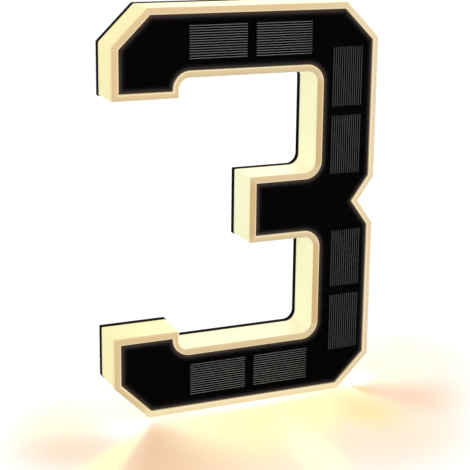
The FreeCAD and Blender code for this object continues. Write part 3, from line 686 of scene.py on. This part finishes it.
def dark_board(look):
    """The black lacquer of the board, with a faint weave of its glass cloth."""
    net = Finish("black_lacquer", {"Specular IOR Level": 0.012})
    thread = 0.6 * MM
    weave = net.add("ShaderNodeTexChecker", {"Vector": net.place, "Scale": 1 / thread}).outputs["Fac"]
    marks = net.handled(roughness=0.35, amount=0.1)
    return net.feed(Base_Color=net.drifted(look.board, size=12 * MM, amount=0.15),
                    Roughness=marks["Roughness"],
                    Normal=net.bump(weave, distance=0.01 * MM, strength=0.3))


def silicon(look):
    """A dark wafer with the faint flakes of its crystals."""
    net = Finish("silicon", {"Specular IOR Level": 0.012})
    flake_size, darkest, lightest = 4 * MM, 0.7, 1.3
    flakes = net.add("ShaderNodeTexVoronoi", {"Vector": net.place, "Scale": 1 / flake_size})
    flake = net.add("ShaderNodeSeparateColor", {0: flakes.outputs["Color"]}).outputs[0]
    shade = net.sweep(flake, 0.0, 1.0, darkest, lightest)
    marks = net.handled(roughness=0.25, amount=0.1)
    return net.feed(Base_Color=net.vector("SCALE", {0: look.silicon[:3], "Scale": shade}),
                    Roughness=marks["Roughness"])


def printed_silver(look):
    """Silver paste, fired on in lines, with painted shade on the upright cells."""
    net = Finish("printed_silver")
    # Half of the cells are upright, and each of these starts further right than any level one.
    starts = sorted(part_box(node)[0].x for node in CELL_NODES)
    last_level, first_upright = starts[len(starts) // 2 - 1:len(starts) // 2 + 1]
    # Painted shade: the lines on the upright cells are darker than on the level ones.
    on_upright = net.sweep(net.split(net.place)["X"], (last_level + first_upright) / 2, first_upright)
    colour = net.mixed(on_upright, look.finger, look.finger_upright_shade)
    grain = net.grained(size=0.15 * MM, roughness=0.5, spread=0.2)
    return net.feed(Base_Color=net.drifted(colour, size=2 * MM, amount=0.12),
                    Roughness=grain["Roughness"],
                    Normal=net.bump(grain["Height"], distance=0.01 * MM, strength=0.4))


def moulded(name, colour, size, roughness, specular, relief, back=None):
    """A moulded plastic or rubber with its grain, and painted light and shade by facing: another tint where
    it faces back, if one is given.
    """
    net = Finish(name, {"Specular IOR Level": specular})
    if back:
        side, straight_back = 0.5, 0.95
        # Painted light and shade by facing: the back tint where the surface faces back, the first tint
        # elsewhere.
        faces_back = net.sweep(net.split(net.facing)["Y"], side, straight_back)
        colour = net.mixed(faces_back, colour, back)
    grain = net.grained(size, roughness, spread=0.15)
    marks = net.handled(grain["Roughness"], amount=0.08)
    return net.feed(Base_Color=net.drifted(colour, size=20 * MM, amount=0.1),
                    Roughness=marks["Roughness"],
                    Normal=net.bump(grain["Height"], distance=relief, strength=0.6))


def plated(name, colour, roughness):
    """Plated metal with fine marks."""
    net = Finish(name, {"Metallic": 1.0})
    marks = net.handled(roughness, amount=0.2)
    return net.feed(Base_Color=net.drifted(colour, size=3 * MM, amount=0.08),
                    Roughness=marks["Roughness"],
                    Normal=net.bump(marks["Mask"], distance=0.01 * MM, strength=0.4))


# What a face of a light source is, as a number on the face: 0 on its package.
LAMP_WINDOW, LAMP_FOOT = 1.0, 2.0


def lit_package(look):
    """A white package that glows through its window, on plated feet."""
    net = Finish("lit_package", {"Emission Strength": 1.0})
    part = net.painted("lamp_part")
    window, foot = (net.math("COMPARE", part, mark) for mark in (LAMP_WINDOW, LAMP_FOOT))
    colour = net.mixed(foot, net.mixed(window, look.lamp_body, look.phosphor), look.lamp_foot)
    marks = net.handled(roughness=0.35, amount=0.1)
    light = net.mixed(window, (0, 0, 0), look.phosphor)
    return net.feed(Base_Color=net.drifted(colour, size=1 * MM, amount=0.06), Metallic=foot,
                    Roughness=marks["Roughness"], Emission_Color=light)


def lacquered_board(look):
    """A green board with its tracks showing lighter through the lacquer."""
    net = Finish("green_lacquer")
    lacquer, over_tracks = solid(look.solder_mask), solid([c * 1.8 for c in look.solder_mask])
    tracks_in_a_metre, track_width = 220.0, 0.03
    tracks = net.add("ShaderNodeTexBrick", {
        "Vector": net.place, "Scale": tracks_in_a_metre, "Mortar Size": track_width,
        "Color1": lacquer, "Color2": lacquer, "Mortar": over_tracks}).outputs
    marks = net.handled(roughness=0.3, amount=0.2)
    return net.feed(Base_Color=tracks["Color"], Roughness=marks["Roughness"],
                    Normal=net.bump(tracks["Fac"], distance=0.02 * MM, strength=0.5))


def shrink_sleeve(look):
    """A shrink sleeve with bare metal at both ends."""
    net = Finish("shrink_sleeve")
    across = net.split(net.place)["X"]
    low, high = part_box("battery")
    starts, ends = low.x + 1.4 * MM, high.x - 0.4 * MM
    edge = 0.2 * MM
    sleeve = net.times(net.sweep(across, starts, starts + edge), net.sweep(across, ends + edge, ends))
    marks = net.handled(roughness=0.28, amount=0.2)
    return net.feed(Base_Color=net.mixed(sleeve, look.nickel, look.sleeve),
                    Metallic=net.math("SUBTRACT", 1.0, sleeve), Roughness=marks["Roughness"])


def flat_cable(look):
    """A flat cable with its cores side by side and painted shade in the grooves between them."""
    net = Finish("flat_cable", {"Roughness": 0.45})
    row = {"Vector": net.place, "Scale": 500.0}
    cores = net.add("ShaderNodeTexWave", row, bands_direction="X").outputs["Fac"]
    # Painted shade in the grooves between the cores.
    between = [c * 0.7 for c in look.insulation]
    return net.feed(Base_Color=net.mixed(cores, between, look.insulation),
                    Normal=net.bump(cores, distance=0.2 * MM, strength=0.5))


# Painted warm light on the floor, in millimetres and degrees.  Soft ovals of it are laid over each other in
# this
# order: the middle, the half length and half width, the turn from the X axis and the tint.
PAINTED_FLOOR_SPOTS = {
    "wide_blush": ((-4, -62), (220, 165), 12, "FAE8DC"),
    "right_blush": ((150, 14), (62, 96), 0, "FCEEE2"),
    "front_amber": ((-44, -84), (110, 80), 0, "FBE2C6"),
    "front_glow": ((20, -36), (132, 96), 0, "FFFDBC"),
    "left_glow": ((-116, 2), (60, 54), 60, "FFFBDC"),
    "left_peach": ((-125, -38), (52, 56), 60, "F8DBC4"),
    "right_amber": ((62, -98), (80, 62), 20, "FBE4CF"),
    "near_amber": ((68, -52), (34, 50), 0, "FBE2AC"),
    "pale_ray": ((8, -100), (80, 23), 84, "FFFFDC"),
    "right_glow": ((110, 10), (54, 42), 30, "FFFFDC"),
    "right_white": ((82, 0), (26, 24), 40, "FFFFFF"),
}
# Over them lie the painted rays of light that fan out from the two lower corners: the corner, the turn of
# the first side, the angle to the second side, the length and the tint.
PAINTED_FLOOR_RAYS = {
    "peach_ray": ((-62, -12), -137, 80, 152, "EAC5A3"),
    "yellow_ray": ((-62, -14), -121, -26, 160, "FFFFC8"),
    "white_ray": ((-60, -14), -118, -100, 50, "FFFFFF"),
    "right_peach": ((74, -8), -92, 112, 100, "F3D0B8"),
    "right_streak": ((75, -10), -84, 50, 30, "F5D09C"),
}
# On top lies painted light right under the foot, and this far round the foot painted white light makes
# the floor and the figure's shadow on it lighter.
PAINTED_FOOT_LIGHT = ((0, -15), (84, 12), 0, "FFFFF4")
FOOT_REACH = (190 * MM, 80 * MM, 1)


def warm_floor(look):
    """A white floor that keeps its shadows, with the figure's warm light painted on it and painted white
    light round its foot.
    """
    net = Finish("white_floor", {"Roughness": 0.9, "Specular IOR Level": 0.0})

    def spot(below, middle, reach, turn, code):
        mask = net.use("soft_spot", Place=net.place, Middle=(middle[0] * MM, middle[1] * MM, 0),
                       Turn=-math.radians(turn), Reach=(reach[0] * MM, reach[1] * MM, 1))
        return net.mixed(mask["Mask"], below, tint(code))

    colour = (1, 1, 1)
    # Painted pools and rays of the figure's warm light.
    for spot_shape in PAINTED_FLOOR_SPOTS.values():
        colour = spot(colour, *spot_shape)
    for corner, turn, spread, reach, code in PAINTED_FLOOR_RAYS.values():
        mask = net.use("light_ray", Place=net.place, Corner=(corner[0] * MM, corner[1] * MM, 0),
                       Turn=-math.radians(turn), Spread=math.radians(spread), Reach=reach * MM)
        colour = net.mixed(mask["Mask"], colour, tint(code))
    # Painted light under the foot, then painted white that lightens the figure's shadow round the foot.
    colour = spot(colour, *PAINTED_FOOT_LIGHT)
    near = net.use("soft_spot", Place=net.place, Reach=FOOT_REACH)["Mask"]
    white = net.math("ADD", net.times(near, look.foot_painted_white), look.floor_white)
    return net.feed(Base_Color=net.scaled(colour, look.floor_reflected), Emission_Color=colour,
                    Emission_Strength=net.times(net.seen_by_eye(), white))


# Shapes.

def off_outline(place, outline):
    """How far a point lies from a closed outline."""
    gaps = []
    for start, end in zip(outline, outline[1:] + outline[:1]):
        nearest, along = intersect_point_line(place, start, end)
        gaps.append((place - (start if along < 0 else end if along > 1 else nearest)).length)
    return min(gaps)


def upright_turn(net, given):
    """A quarter turn about Y for the points that are marked upright."""
    upright = net.add("GeometryNodeInputNamedAttribute", {"Name": "upright"}, data_type="FLOAT")
    angle = net.times(upright.outputs["Attribute"], math.pi / 2)
    return net.add("ShaderNodeCombineXYZ", {"Y": angle}).outputs[0]


def random_turn(net, given):
    """Any turn about Y."""
    span = {"Min": (0, 0, 0), "Max": (0, math.tau, 0), "Seed": given["Seed"]}
    return net.add("FunctionNodeRandomValue", span, data_type="FLOAT_VECTOR").outputs[0]


def copied(net, points, instance, turn=None):
    """Copies of a shape on points, each turned if a turn is given."""
    given = {"Points": points, "Instance": instance, **({"Rotation": turn} if turn else {})}
    return net.add("GeometryNodeInstanceOnPoints", given).outputs[0]


def copies_tree(name, turn_of, **more):
    """A copy of one object on each point, turned as a function says."""
    net, given, made = geometry_tree(name, Copied=OBJECT, **more)
    shape = net.add("GeometryNodeObjectInfo", {"Object": given["Copied"]}).outputs["Geometry"]
    return finish_tree(net, given, made, copied(net, given["Points"], shape, turn_of(net, given)))


def finger_tree():
    """A comb of printed lines on each point, turned upright where the point says so."""
    net, given, made = geometry_tree("cell_fingers", Lines=INTEGER, Pitch=FLOAT, Length=FLOAT,
                                     Width=FLOAT, Thickness=FLOAT)
    span = net.times(net.math("SUBTRACT", given["Lines"], 1.0), given["Pitch"])
    start = net.add("ShaderNodeCombineXYZ", {"Z": net.times(span, -0.5)})
    step = net.add("ShaderNodeCombineXYZ", {"Z": given["Pitch"]})
    row = net.add("GeometryNodeMeshLine", {
        "Count": given["Lines"], "Start Location": start.outputs[0], "Offset": step.outputs[0]})
    size = net.add("ShaderNodeCombineXYZ", {
        "X": given["Length"], "Y": given["Thickness"], "Z": given["Width"]})
    line = net.add("GeometryNodeMeshCube", {"Size": size.outputs[0]})
    comb = copied(net, row.outputs[0], line.outputs[0])
    return finish_tree(net, given, made, copied(net, given["Points"], comb, upright_turn(net, given)))


def stands(low, high):
    """1 for a box that is taller than it is wide, and 0 for another."""
    return float(high.z - low.z > high.x - low.x)


def quarter_turn(steps):
    """The angles of a quarter turn, in steps, without the first."""
    return [i / steps * math.pi / 2 for i in range(1, steps + 1)]


def pan_screw(look, radius, length):
    """A pan-head screw with its head towards +Y, its seat at the origin and a cross recess."""
    top, shank = look.head_height, look.shank_radius
    brim, flatness = 0.25, 0.8
    section = [(0, top)]
    for angle in quarter_turn(10):
        section.append((radius * math.sin(angle), top * (brim + (1 - brim) * math.cos(angle) ** flatness)))
    side, seat_radius, tip = 0.05 * top, 0.96 * radius, 0.6 * shank
    section += [(radius, side), (seat_radius, 0), (shank, 0)]
    section += [(shank, -length + shank), (tip, -length), (0, -length)]
    finish = bpy.data.materials["zinc_steel"]
    screw = object_of("pan_screw", mesh_of("pan_screw", turned(section, steps=32)), finish)
    slots = bmesh.new()
    taper, reach, above = 0.7, 1.15, 1.2
    for turn in (0, math.pi / 2):
        block = bmesh.ops.create_cube(slots, size=1)["verts"]
        for vertex in block:
            deep = vertex.co.y < 0
            vertex.co.x *= look.recess_width * (taper if deep else 1)
            vertex.co.z *= radius * (taper if deep else reach)
            vertex.co.y = top - look.recess_depth if deep else top * above
        bmesh.ops.rotate(slots, verts=block, cent=(0, 0, 0), matrix=Matrix.Rotation(turn, 3, "Y"))
    bmesh.ops.recalc_face_normals(slots, faces=slots.faces)
    tool = object_of("recess", mesh_of("recess", slots), finish)
    cutter = screw.modifiers.new("recess", "BOOLEAN")
    cutter.operation, cutter.solver, cutter.object, cutter.use_self = "DIFFERENCE", "EXACT", tool, True
    mesh = settled(screw)
    bpy.data.objects.remove(tool)
    return bpy.data.objects.new("pan_screw", mesh)


def outline_points(half_x, half_z, between=4):
    """Points round a rectangle, a few on each side, as (x, z)."""
    corners = [Vector((x * half_x, z * half_z)) for x, z in ((1, 1), (-1, 1), (-1, -1), (1, -1))]
    return [start.lerp(end, i / between) for start, end in zip(corners, corners[1:] + corners[:1])
            for i in range(between)]


def lamp_package(look, low, high):
    """A light source that faces +Y: a block with a bevel and a round window, and a foot at each end."""
    half = (high - low) / 2
    top, bevel, sill = high.y - low.y, look.lamp_bevel, look.window_radius
    outline = outline_points(half.x, half.z)
    round_window = [point.normalized() for point in outline]
    depth = look.window_depth
    rings = [(outline, 0), (outline, top - bevel), (outline_points(half.x - bevel, half.z - bevel), top),
             ([point * sill for point in round_window], top),
             ([point * (sill - depth) for point in round_window], top - depth)]
    shape = bmesh.new()
    part = shape.faces.layers.float.new("lamp_part")
    verts = [[shape.verts.new((x, y, z)) for x, z in ring] for ring, y in rings]
    for below, above in zip(verts, verts[1:]):
        for i in range(len(outline)):
            shape.faces.new((below[i], below[i - 1], above[i - 1], above[i]))
    shape.faces.new(verts[0])
    shape.faces.new(verts[-1])[part] = LAMP_WINDOW
    foot_width = 0.8 * 2 * half.z  # four fifths of the package's
    foot_size = Vector((look.foot_length, look.foot_thickness, foot_width))
    for side in (-1, 1):
        foot_middle = Vector((side * half.x, look.foot_thickness / 2, 0))
        for vertex in bmesh.ops.create_cube(shape, size=1)["verts"]:
            vertex.co = foot_middle + vertex.co * foot_size
            for face in vertex.link_faces:
                face[part] = LAMP_FOOT
    bmesh.ops.recalc_face_normals(shape, faces=shape.faces)
    return bpy.data.objects.new("lamp_package", mesh_of("lamp_package", shape))


# Operators.

class MakeGroups(bpy.types.Operator):
    """Makes the shader groups that the finishes share"""
    bl_idname = "house_number.groups"
    bl_label = "Shared effects"

    def execute(self, context):
        make_moulded_grain()
        make_soft_drift()
        make_handling_marks()
        make_soft_spot()
        make_light_ray()
        return {"FINISHED"}


class MakeDiffuser(bpy.types.Operator):
    """Rounds the front edge and the upright corners of the diffuser and lights it"""
    bl_idname = "house_number.diffuser"
    bl_label = "Diffuser"

    def execute(self, context):
        look = context.scene.number_diffuser
        shape = welded("diffuser")
        low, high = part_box("diffuser")
        rounding = shape.faces.layers.float.new("rounding")
        front = sharp_edges(shape, least_turn=60, wanted=lambda edge: lies_at(edge, low.y))
        for face in rounded(shape, front, look.edge_round, segments=4):
            face[rounding] = 1.0
        shape.normal_update()
        straight = high.y - low.y - look.edge_round
        corners = sharp_edges(shape, least_turn=5, wanted=lambda edge: runs_back(edge, straight)
                              or changes_depth(edge) and all(face[rounding] for face in edge.link_faces))
        if not corners:
            raise RuntimeError("the diffuser has no upright corners to round")
        rounded(shape, corners, look.corner_round)
        piece = object_of("diffuser_shell", mesh_of("diffuser_shell", shape), milky_plastic(look))
        seat(piece, "housing", "diffuser", "diffuser")
        return {"FINISHED"}


class MakeCover(bpy.types.Operator):
    """Makes the clear cover, with a fine front that carries the light creeping in from its edge"""
    bl_idname = "house_number.cover"
    bl_label = "Clear cover"
    spacing = 1.6 * MM  # from one cut of the front to the next

    def execute(self, context):
        look = context.scene.number_panel
        shape = welded("face_cover")
        inward = shape.verts.layers.float.new("inward")
        low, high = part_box("face_cover")
        fronts = [face for face in shape.faces if lies_at(face, low.y)]
        if len(fronts) != 1:
            raise RuntimeError("the cover's front is not one face")
        outline = [vertex.co.copy() for vertex in fronts[0].verts]
        for way in (Vector((1, 0, 0)), Vector((0, 0, 1))):
            for cut in range(1, int((high - low).dot(way) / self.spacing)):
                fronts = [face for face in shape.faces if lies_at(face, low.y)]
                parts = {part for face in fronts for part in (face, *face.edges, *face.verts)}
                bmesh.ops.bisect_plane(shape, geom=list(parts), plane_no=way,
                                       plane_co=low + way * self.spacing * cut)
        for vertex in shape.verts:
            in_front = vertex.co.y < low.y + WELD
            gap = off_outline(vertex.co, outline) if in_front else look.halo_width
            vertex[inward] = min(gap, look.halo_width)
        piece = object_of("cover_sheet", mesh_of("cover_sheet", shape), clear_plastic(look))
        seat(piece, "housing", "clear_cover", "face_cover")
        return {"FINISHED"}


class FinishBoard(bpy.types.Operator):
    """Finishes the board and its solar cells"""
    bl_idname = "house_number.board"
    bl_label = "Board and cells"

    def execute(self, context):
        look = context.scene.number_panel
        dress(dark_board(look), "solar_board")
        dress(silicon(look), *CELL_NODES)
        return {"FINISHED"}


class MakeFingers(bpy.types.Operator):
    """Prints the lines on the solar cells"""
    bl_idname = "house_number.fingers"
    bl_label = "Printed lines"

    def execute(self, context):
        look = context.scene.number_panel
        boxes = [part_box(node) for node in CELL_NODES]
        places = [middle_at(box, box[0].y - look.finger_thickness / 2) for box in boxes]
        points = marked_points(places, [stands(*box) for box in boxes])
        finish = printed_silver(look)
        mesh = grown("cell_fingers", points, finger_tree(), {
            "Lines": look.finger_count, "Pitch": look.finger_pitch, "Length": look.finger_length,
            "Width": look.finger_width, "Thickness": look.finger_thickness, "Material": finish})
        seat(object_of("cell_fingers", mesh, finish), "housing", "solar_cell")
        return {"FINISHED"}


class MakeBackPlate(bpy.types.Operator):
    """Rounds the edges of the back plate and gives it its grain"""
    bl_idname = "house_number.back_plate"
    bl_label = "Back plate"

    def execute(self, context):
        look = context.scene.number_back
        shape = welded("back_plate")
        low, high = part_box("back_plate")
        edge_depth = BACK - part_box("diffuser")[1].y
        corners = sharp_edges(shape, least_turn=20, wanted=lambda edge: runs_back(edge, edge_depth)
                              and max(v.co.y for v in edge.verts) > BACK - WELD)
        rounded(shape, corners, look.plate_corner)
        shape.normal_update()
        back_edges = sharp_edges(shape, least_turn=40, wanted=lambda edge: lies_at(edge, high.y))
        rounded(shape, back_edges, look.plate_round)
        # The plate with painted light on its back, lighter than its edges.
        finish = moulded("black_shell", look.plate, look.grain, roughness=0.5, specular=0.005,
                         relief=0.03 * MM, back=look.plate_back_lit)
        piece = object_of("back_shell", mesh_of("back_shell", shape), finish)
        seat(piece, "housing", "black_plastic", "back_plate")
        return {"FINISHED"}


class MakeCaseScrews(bpy.types.Operator):
    """Seats the pan-head screws in the back plate"""
    bl_idname = "house_number.case_screws"
    bl_label = "Case screws"
    seed = 3

    def execute(self, context):
        look = context.scene.number_back
        finish = plated("zinc_steel", look.steel, roughness=0.3)
        boxes = islands("case_screws")
        seats = [middle_at(box, box[1].y - look.head_height) for box in boxes]
        low, high = boxes[0]
        screw = pan_screw(look, (high.x - low.x) / 2, high.y - low.y - look.head_height)
        tree = copies_tree("seated_screws", random_turn, Seed=INTEGER)
        mesh = grown("case_screws_seated", marked_points(seats), tree,
                     {"Copied": screw, "Seed": self.seed, "Material": finish})
        bpy.data.objects.remove(screw)
        seat(object_of("case_screw_set", mesh, finish), "housing", "screw_steel", "case_screws")
        return {"FINISHED"}


class MakeButton(bpy.types.Operator):
    """Makes the push button with its domed end"""
    bl_idname = "house_number.button"
    bl_label = "Button"

    def execute(self, context):
        look = context.scene.number_back
        low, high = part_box("button_cap")
        flange, stem, bend = (high.x - low.x) / 2, look.stem_radius, look.button_round
        seat_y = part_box("button_seal")[0].y
        round_y = high.y - bend
        section = [(0, low.y), (flange, low.y), (flange, seat_y), (stem, seat_y), (stem, round_y)]
        for angle in quarter_turn(6):
            rise = (bend - look.dome) * math.sin(angle)
            section.append((stem - bend * (1 - math.cos(angle)), round_y + rise))
        dome_steps = 8
        for i in range(1, dome_steps + 1):
            along = 1 - i / dome_steps
            rise = math.cos(math.pi / 2 * (1 - along) ** 2)
            section.append(((stem - bend) * along, high.y - look.dome * rise))
        shape = turned(section, steps=64)
        bmesh.ops.translate(shape, verts=shape.verts, vec=middle_at((low, high), 0))
        finish = moulded("soft_button", look.button, size=0.3 * MM, roughness=0.55, specular=0.2,
                         relief=0.02 * MM)
        piece = object_of("button_top", mesh_of("button_top", shape), finish)
        seat(piece, "button", "button_rubber", "button_cap")
        return {"FINISHED"}


class MakeLamps(bpy.types.Operator):
    """Makes the light sources on the back of the board"""
    bl_idname = "house_number.lamps"
    bl_label = "Light sources"

    def execute(self, context):
        look = context.scene.number_inside
        boxes = islands("leds")
        lamp = lamp_package(look, *next(box for box in boxes if not stands(*box)))
        places = [middle_at(box, box[0].y) for box in boxes]
        points = marked_points(places, [stands(*box) for box in boxes])
        finish = lit_package(look)
        mesh = grown("lamps_placed", points, copies_tree("placed_lamps", upright_turn),
                     {"Copied": lamp, "Material": finish})
        bpy.data.objects.remove(lamp)
        seat(object_of("lamp_set", mesh, finish), "housing", "led", "leds")
        return {"FINISHED"}


# The plain plastics and rubbers inside: the name of the tint, the size of the grain, the roughness, how
# much the surface shines, the height of the grain and the nodes.
INSIDE_PLASTICS = {
    "foam_tape": ("tape", 0.3 * MM, 0.8, 0.3, 0.05 * MM, ("panel_tape",)),
    "silicone": ("seal", 0.2 * MM, 0.6, 0.4, 0.02 * MM, ("rear_gasket", "button_seal")),
    "white_card": ("sheet", 0.2 * MM, 0.7, 0.3, 0.02 * MM, ("reflector",)),
    "moulded_package": ("package", 0.15 * MM, 0.45, 0.5, 0.01 * MM,
                        ("board_components", "switch_body", "switch_plunger", "battery_holder")),
    "foam_pad": ("tape", 0.5 * MM, 0.9, 0.2, 0.1 * MM, ("holder_pad",)),
}


class FinishInside(bpy.types.Operator):
    """Finishes what the closed housing holds"""
    bl_idname = "house_number.inside"
    bl_label = "Inside parts"

    def execute(self, context):
        look = context.scene.number_inside
        for name, (colour, size, roughness, specular, relief, nodes) in INSIDE_PLASTICS.items():
            dress(moulded(name, getattr(look, colour), size, roughness, specular, relief), *nodes)
        dress(plated("small_steel", look.nickel, roughness=0.35), "board_screws")
        dress(plated("nickel", look.nickel, roughness=0.3), "battery_contacts", "battery_straps")
        dress(lacquered_board(look), "control_board")
        dress(shrink_sleeve(look), "battery")
        dress(flat_cable(look), "panel_ribbon")
        return {"FINISHED"}


# Where the three soft lamps of the stage stand, and the side of their square panels, in metres.
LAMP_PLACES = {"key": (-0.55, -0.85, 0.75), "fill": (0.8, -0.5, 0.5), "rear": (0.5, 0.9, 0.8)}
LAMP_SIDE = 0.6


class SetStage(bpy.types.Operator):
    """Sets the floor, the lamps, the surroundings and the camera"""
    bl_idname = "house_number.stage"
    bl_label = "Stage"
    floor_half = 6.0

    def execute(self, context):
        look = context.scene.number_stage
        mesh = bpy.data.meshes.new("floor")
        corners = [(x, y, 0) for x, y in ((-1, -1), (1, -1), (1, 1), (-1, 1))]
        mesh.from_pydata([Vector(c) * self.floor_half for c in corners], [], [(0, 1, 2, 3)])
        mesh.materials.append(warm_floor(look))
        floor = bpy.data.objects.new("floor", mesh)
        context.scene.collection.objects.link(floor)

        for name, place in LAMP_PLACES.items():
            light = bpy.data.lights.new(name + "_lamp", "AREA")
            light.size, light.energy = LAMP_SIDE, getattr(look, name + "_power")
            lamp = bpy.data.objects.new(name + "_lamp", light)
            lamp.location = place
            aim = Vector((0, 0, MIDDLE_Z)) - lamp.location
            lamp.rotation_euler = aim.to_track_quat("-Z", "Y").to_euler()
            context.scene.collection.objects.link(lamp)

        world = bpy.data.worlds.new("surroundings")
        world.use_nodes = True
        net = Net(world.node_tree)
        net.tree.nodes.clear()
        strength = net.sweep(net.seen_by_eye(), 0.0, 1.0, look.surroundings, 1.0)
        sky = net.add("ShaderNodeBackground", {"Color": (1, 1, 1, 1), "Strength": strength})
        net.add("ShaderNodeOutputWorld", {"Surface": sky.outputs[0]})
        context.scene.world = world

        camera = bpy.data.objects.new("camera", bpy.data.cameras.new("camera"))
        camera.data.sensor_width = 36
        camera.data.lens = look.lens
        camera.data.shift_x = camera.data.shift_y = look.shift
        camera.data.clip_start, camera.data.clip_end = 0.05, 30
        camera.location = look.camera_place
        camera.rotation_euler = look.camera_turn
        context.scene.collection.objects.link(camera)
        context.scene.camera = camera
        context.scene.view_settings.view_transform = "Standard"
        return {"FINISHED"}


STEPS = (MakeGroups, SetStage, MakeDiffuser, MakeCover, FinishBoard, MakeFingers, MakeBackPlate,
         MakeCaseScrews, MakeButton, MakeLamps, FinishInside)


class HouseNumberPanel(bpy.types.Panel):
    """Lists the pieces of the house number"""
    bl_idname = "VIEW3D_PT_house_number"
    bl_label = "House number"
    bl_space_type = "VIEW_3D"
    bl_region_type = "UI"
    bl_category = "House number"

    def draw(self, context):
        for step in STEPS:
            self.layout.operator(step.bl_idname)
        for name, look in LOOKS.items():
            box = self.layout.box()
            box.label(text=look.__doc__)
            for word in look.__annotations__:
                box.prop(getattr(context.scene, name), word)


CLASSES = (*LOOKS.values(), *STEPS, HouseNumberPanel)


def register():
    """Adds the classes and the looks."""
    for kind in CLASSES:
        bpy.utils.register_class(kind)
    for name, look in LOOKS.items():
        setattr(bpy.types.Scene, name, PointerProperty(type=look))


def unregister():
    """Takes the looks and the classes away again."""
    for name in LOOKS:
        delattr(bpy.types.Scene, name)
    for kind in reversed(CLASSES):
        bpy.utils.unregister_class(kind)


def main():
    """Makes the whole figure on its stage."""
    register()
    for step in STEPS:
        family, name = step.bl_idname.split(".")
        getattr(getattr(bpy.ops, family), name)()


if __name__ == "__main__":
    main()
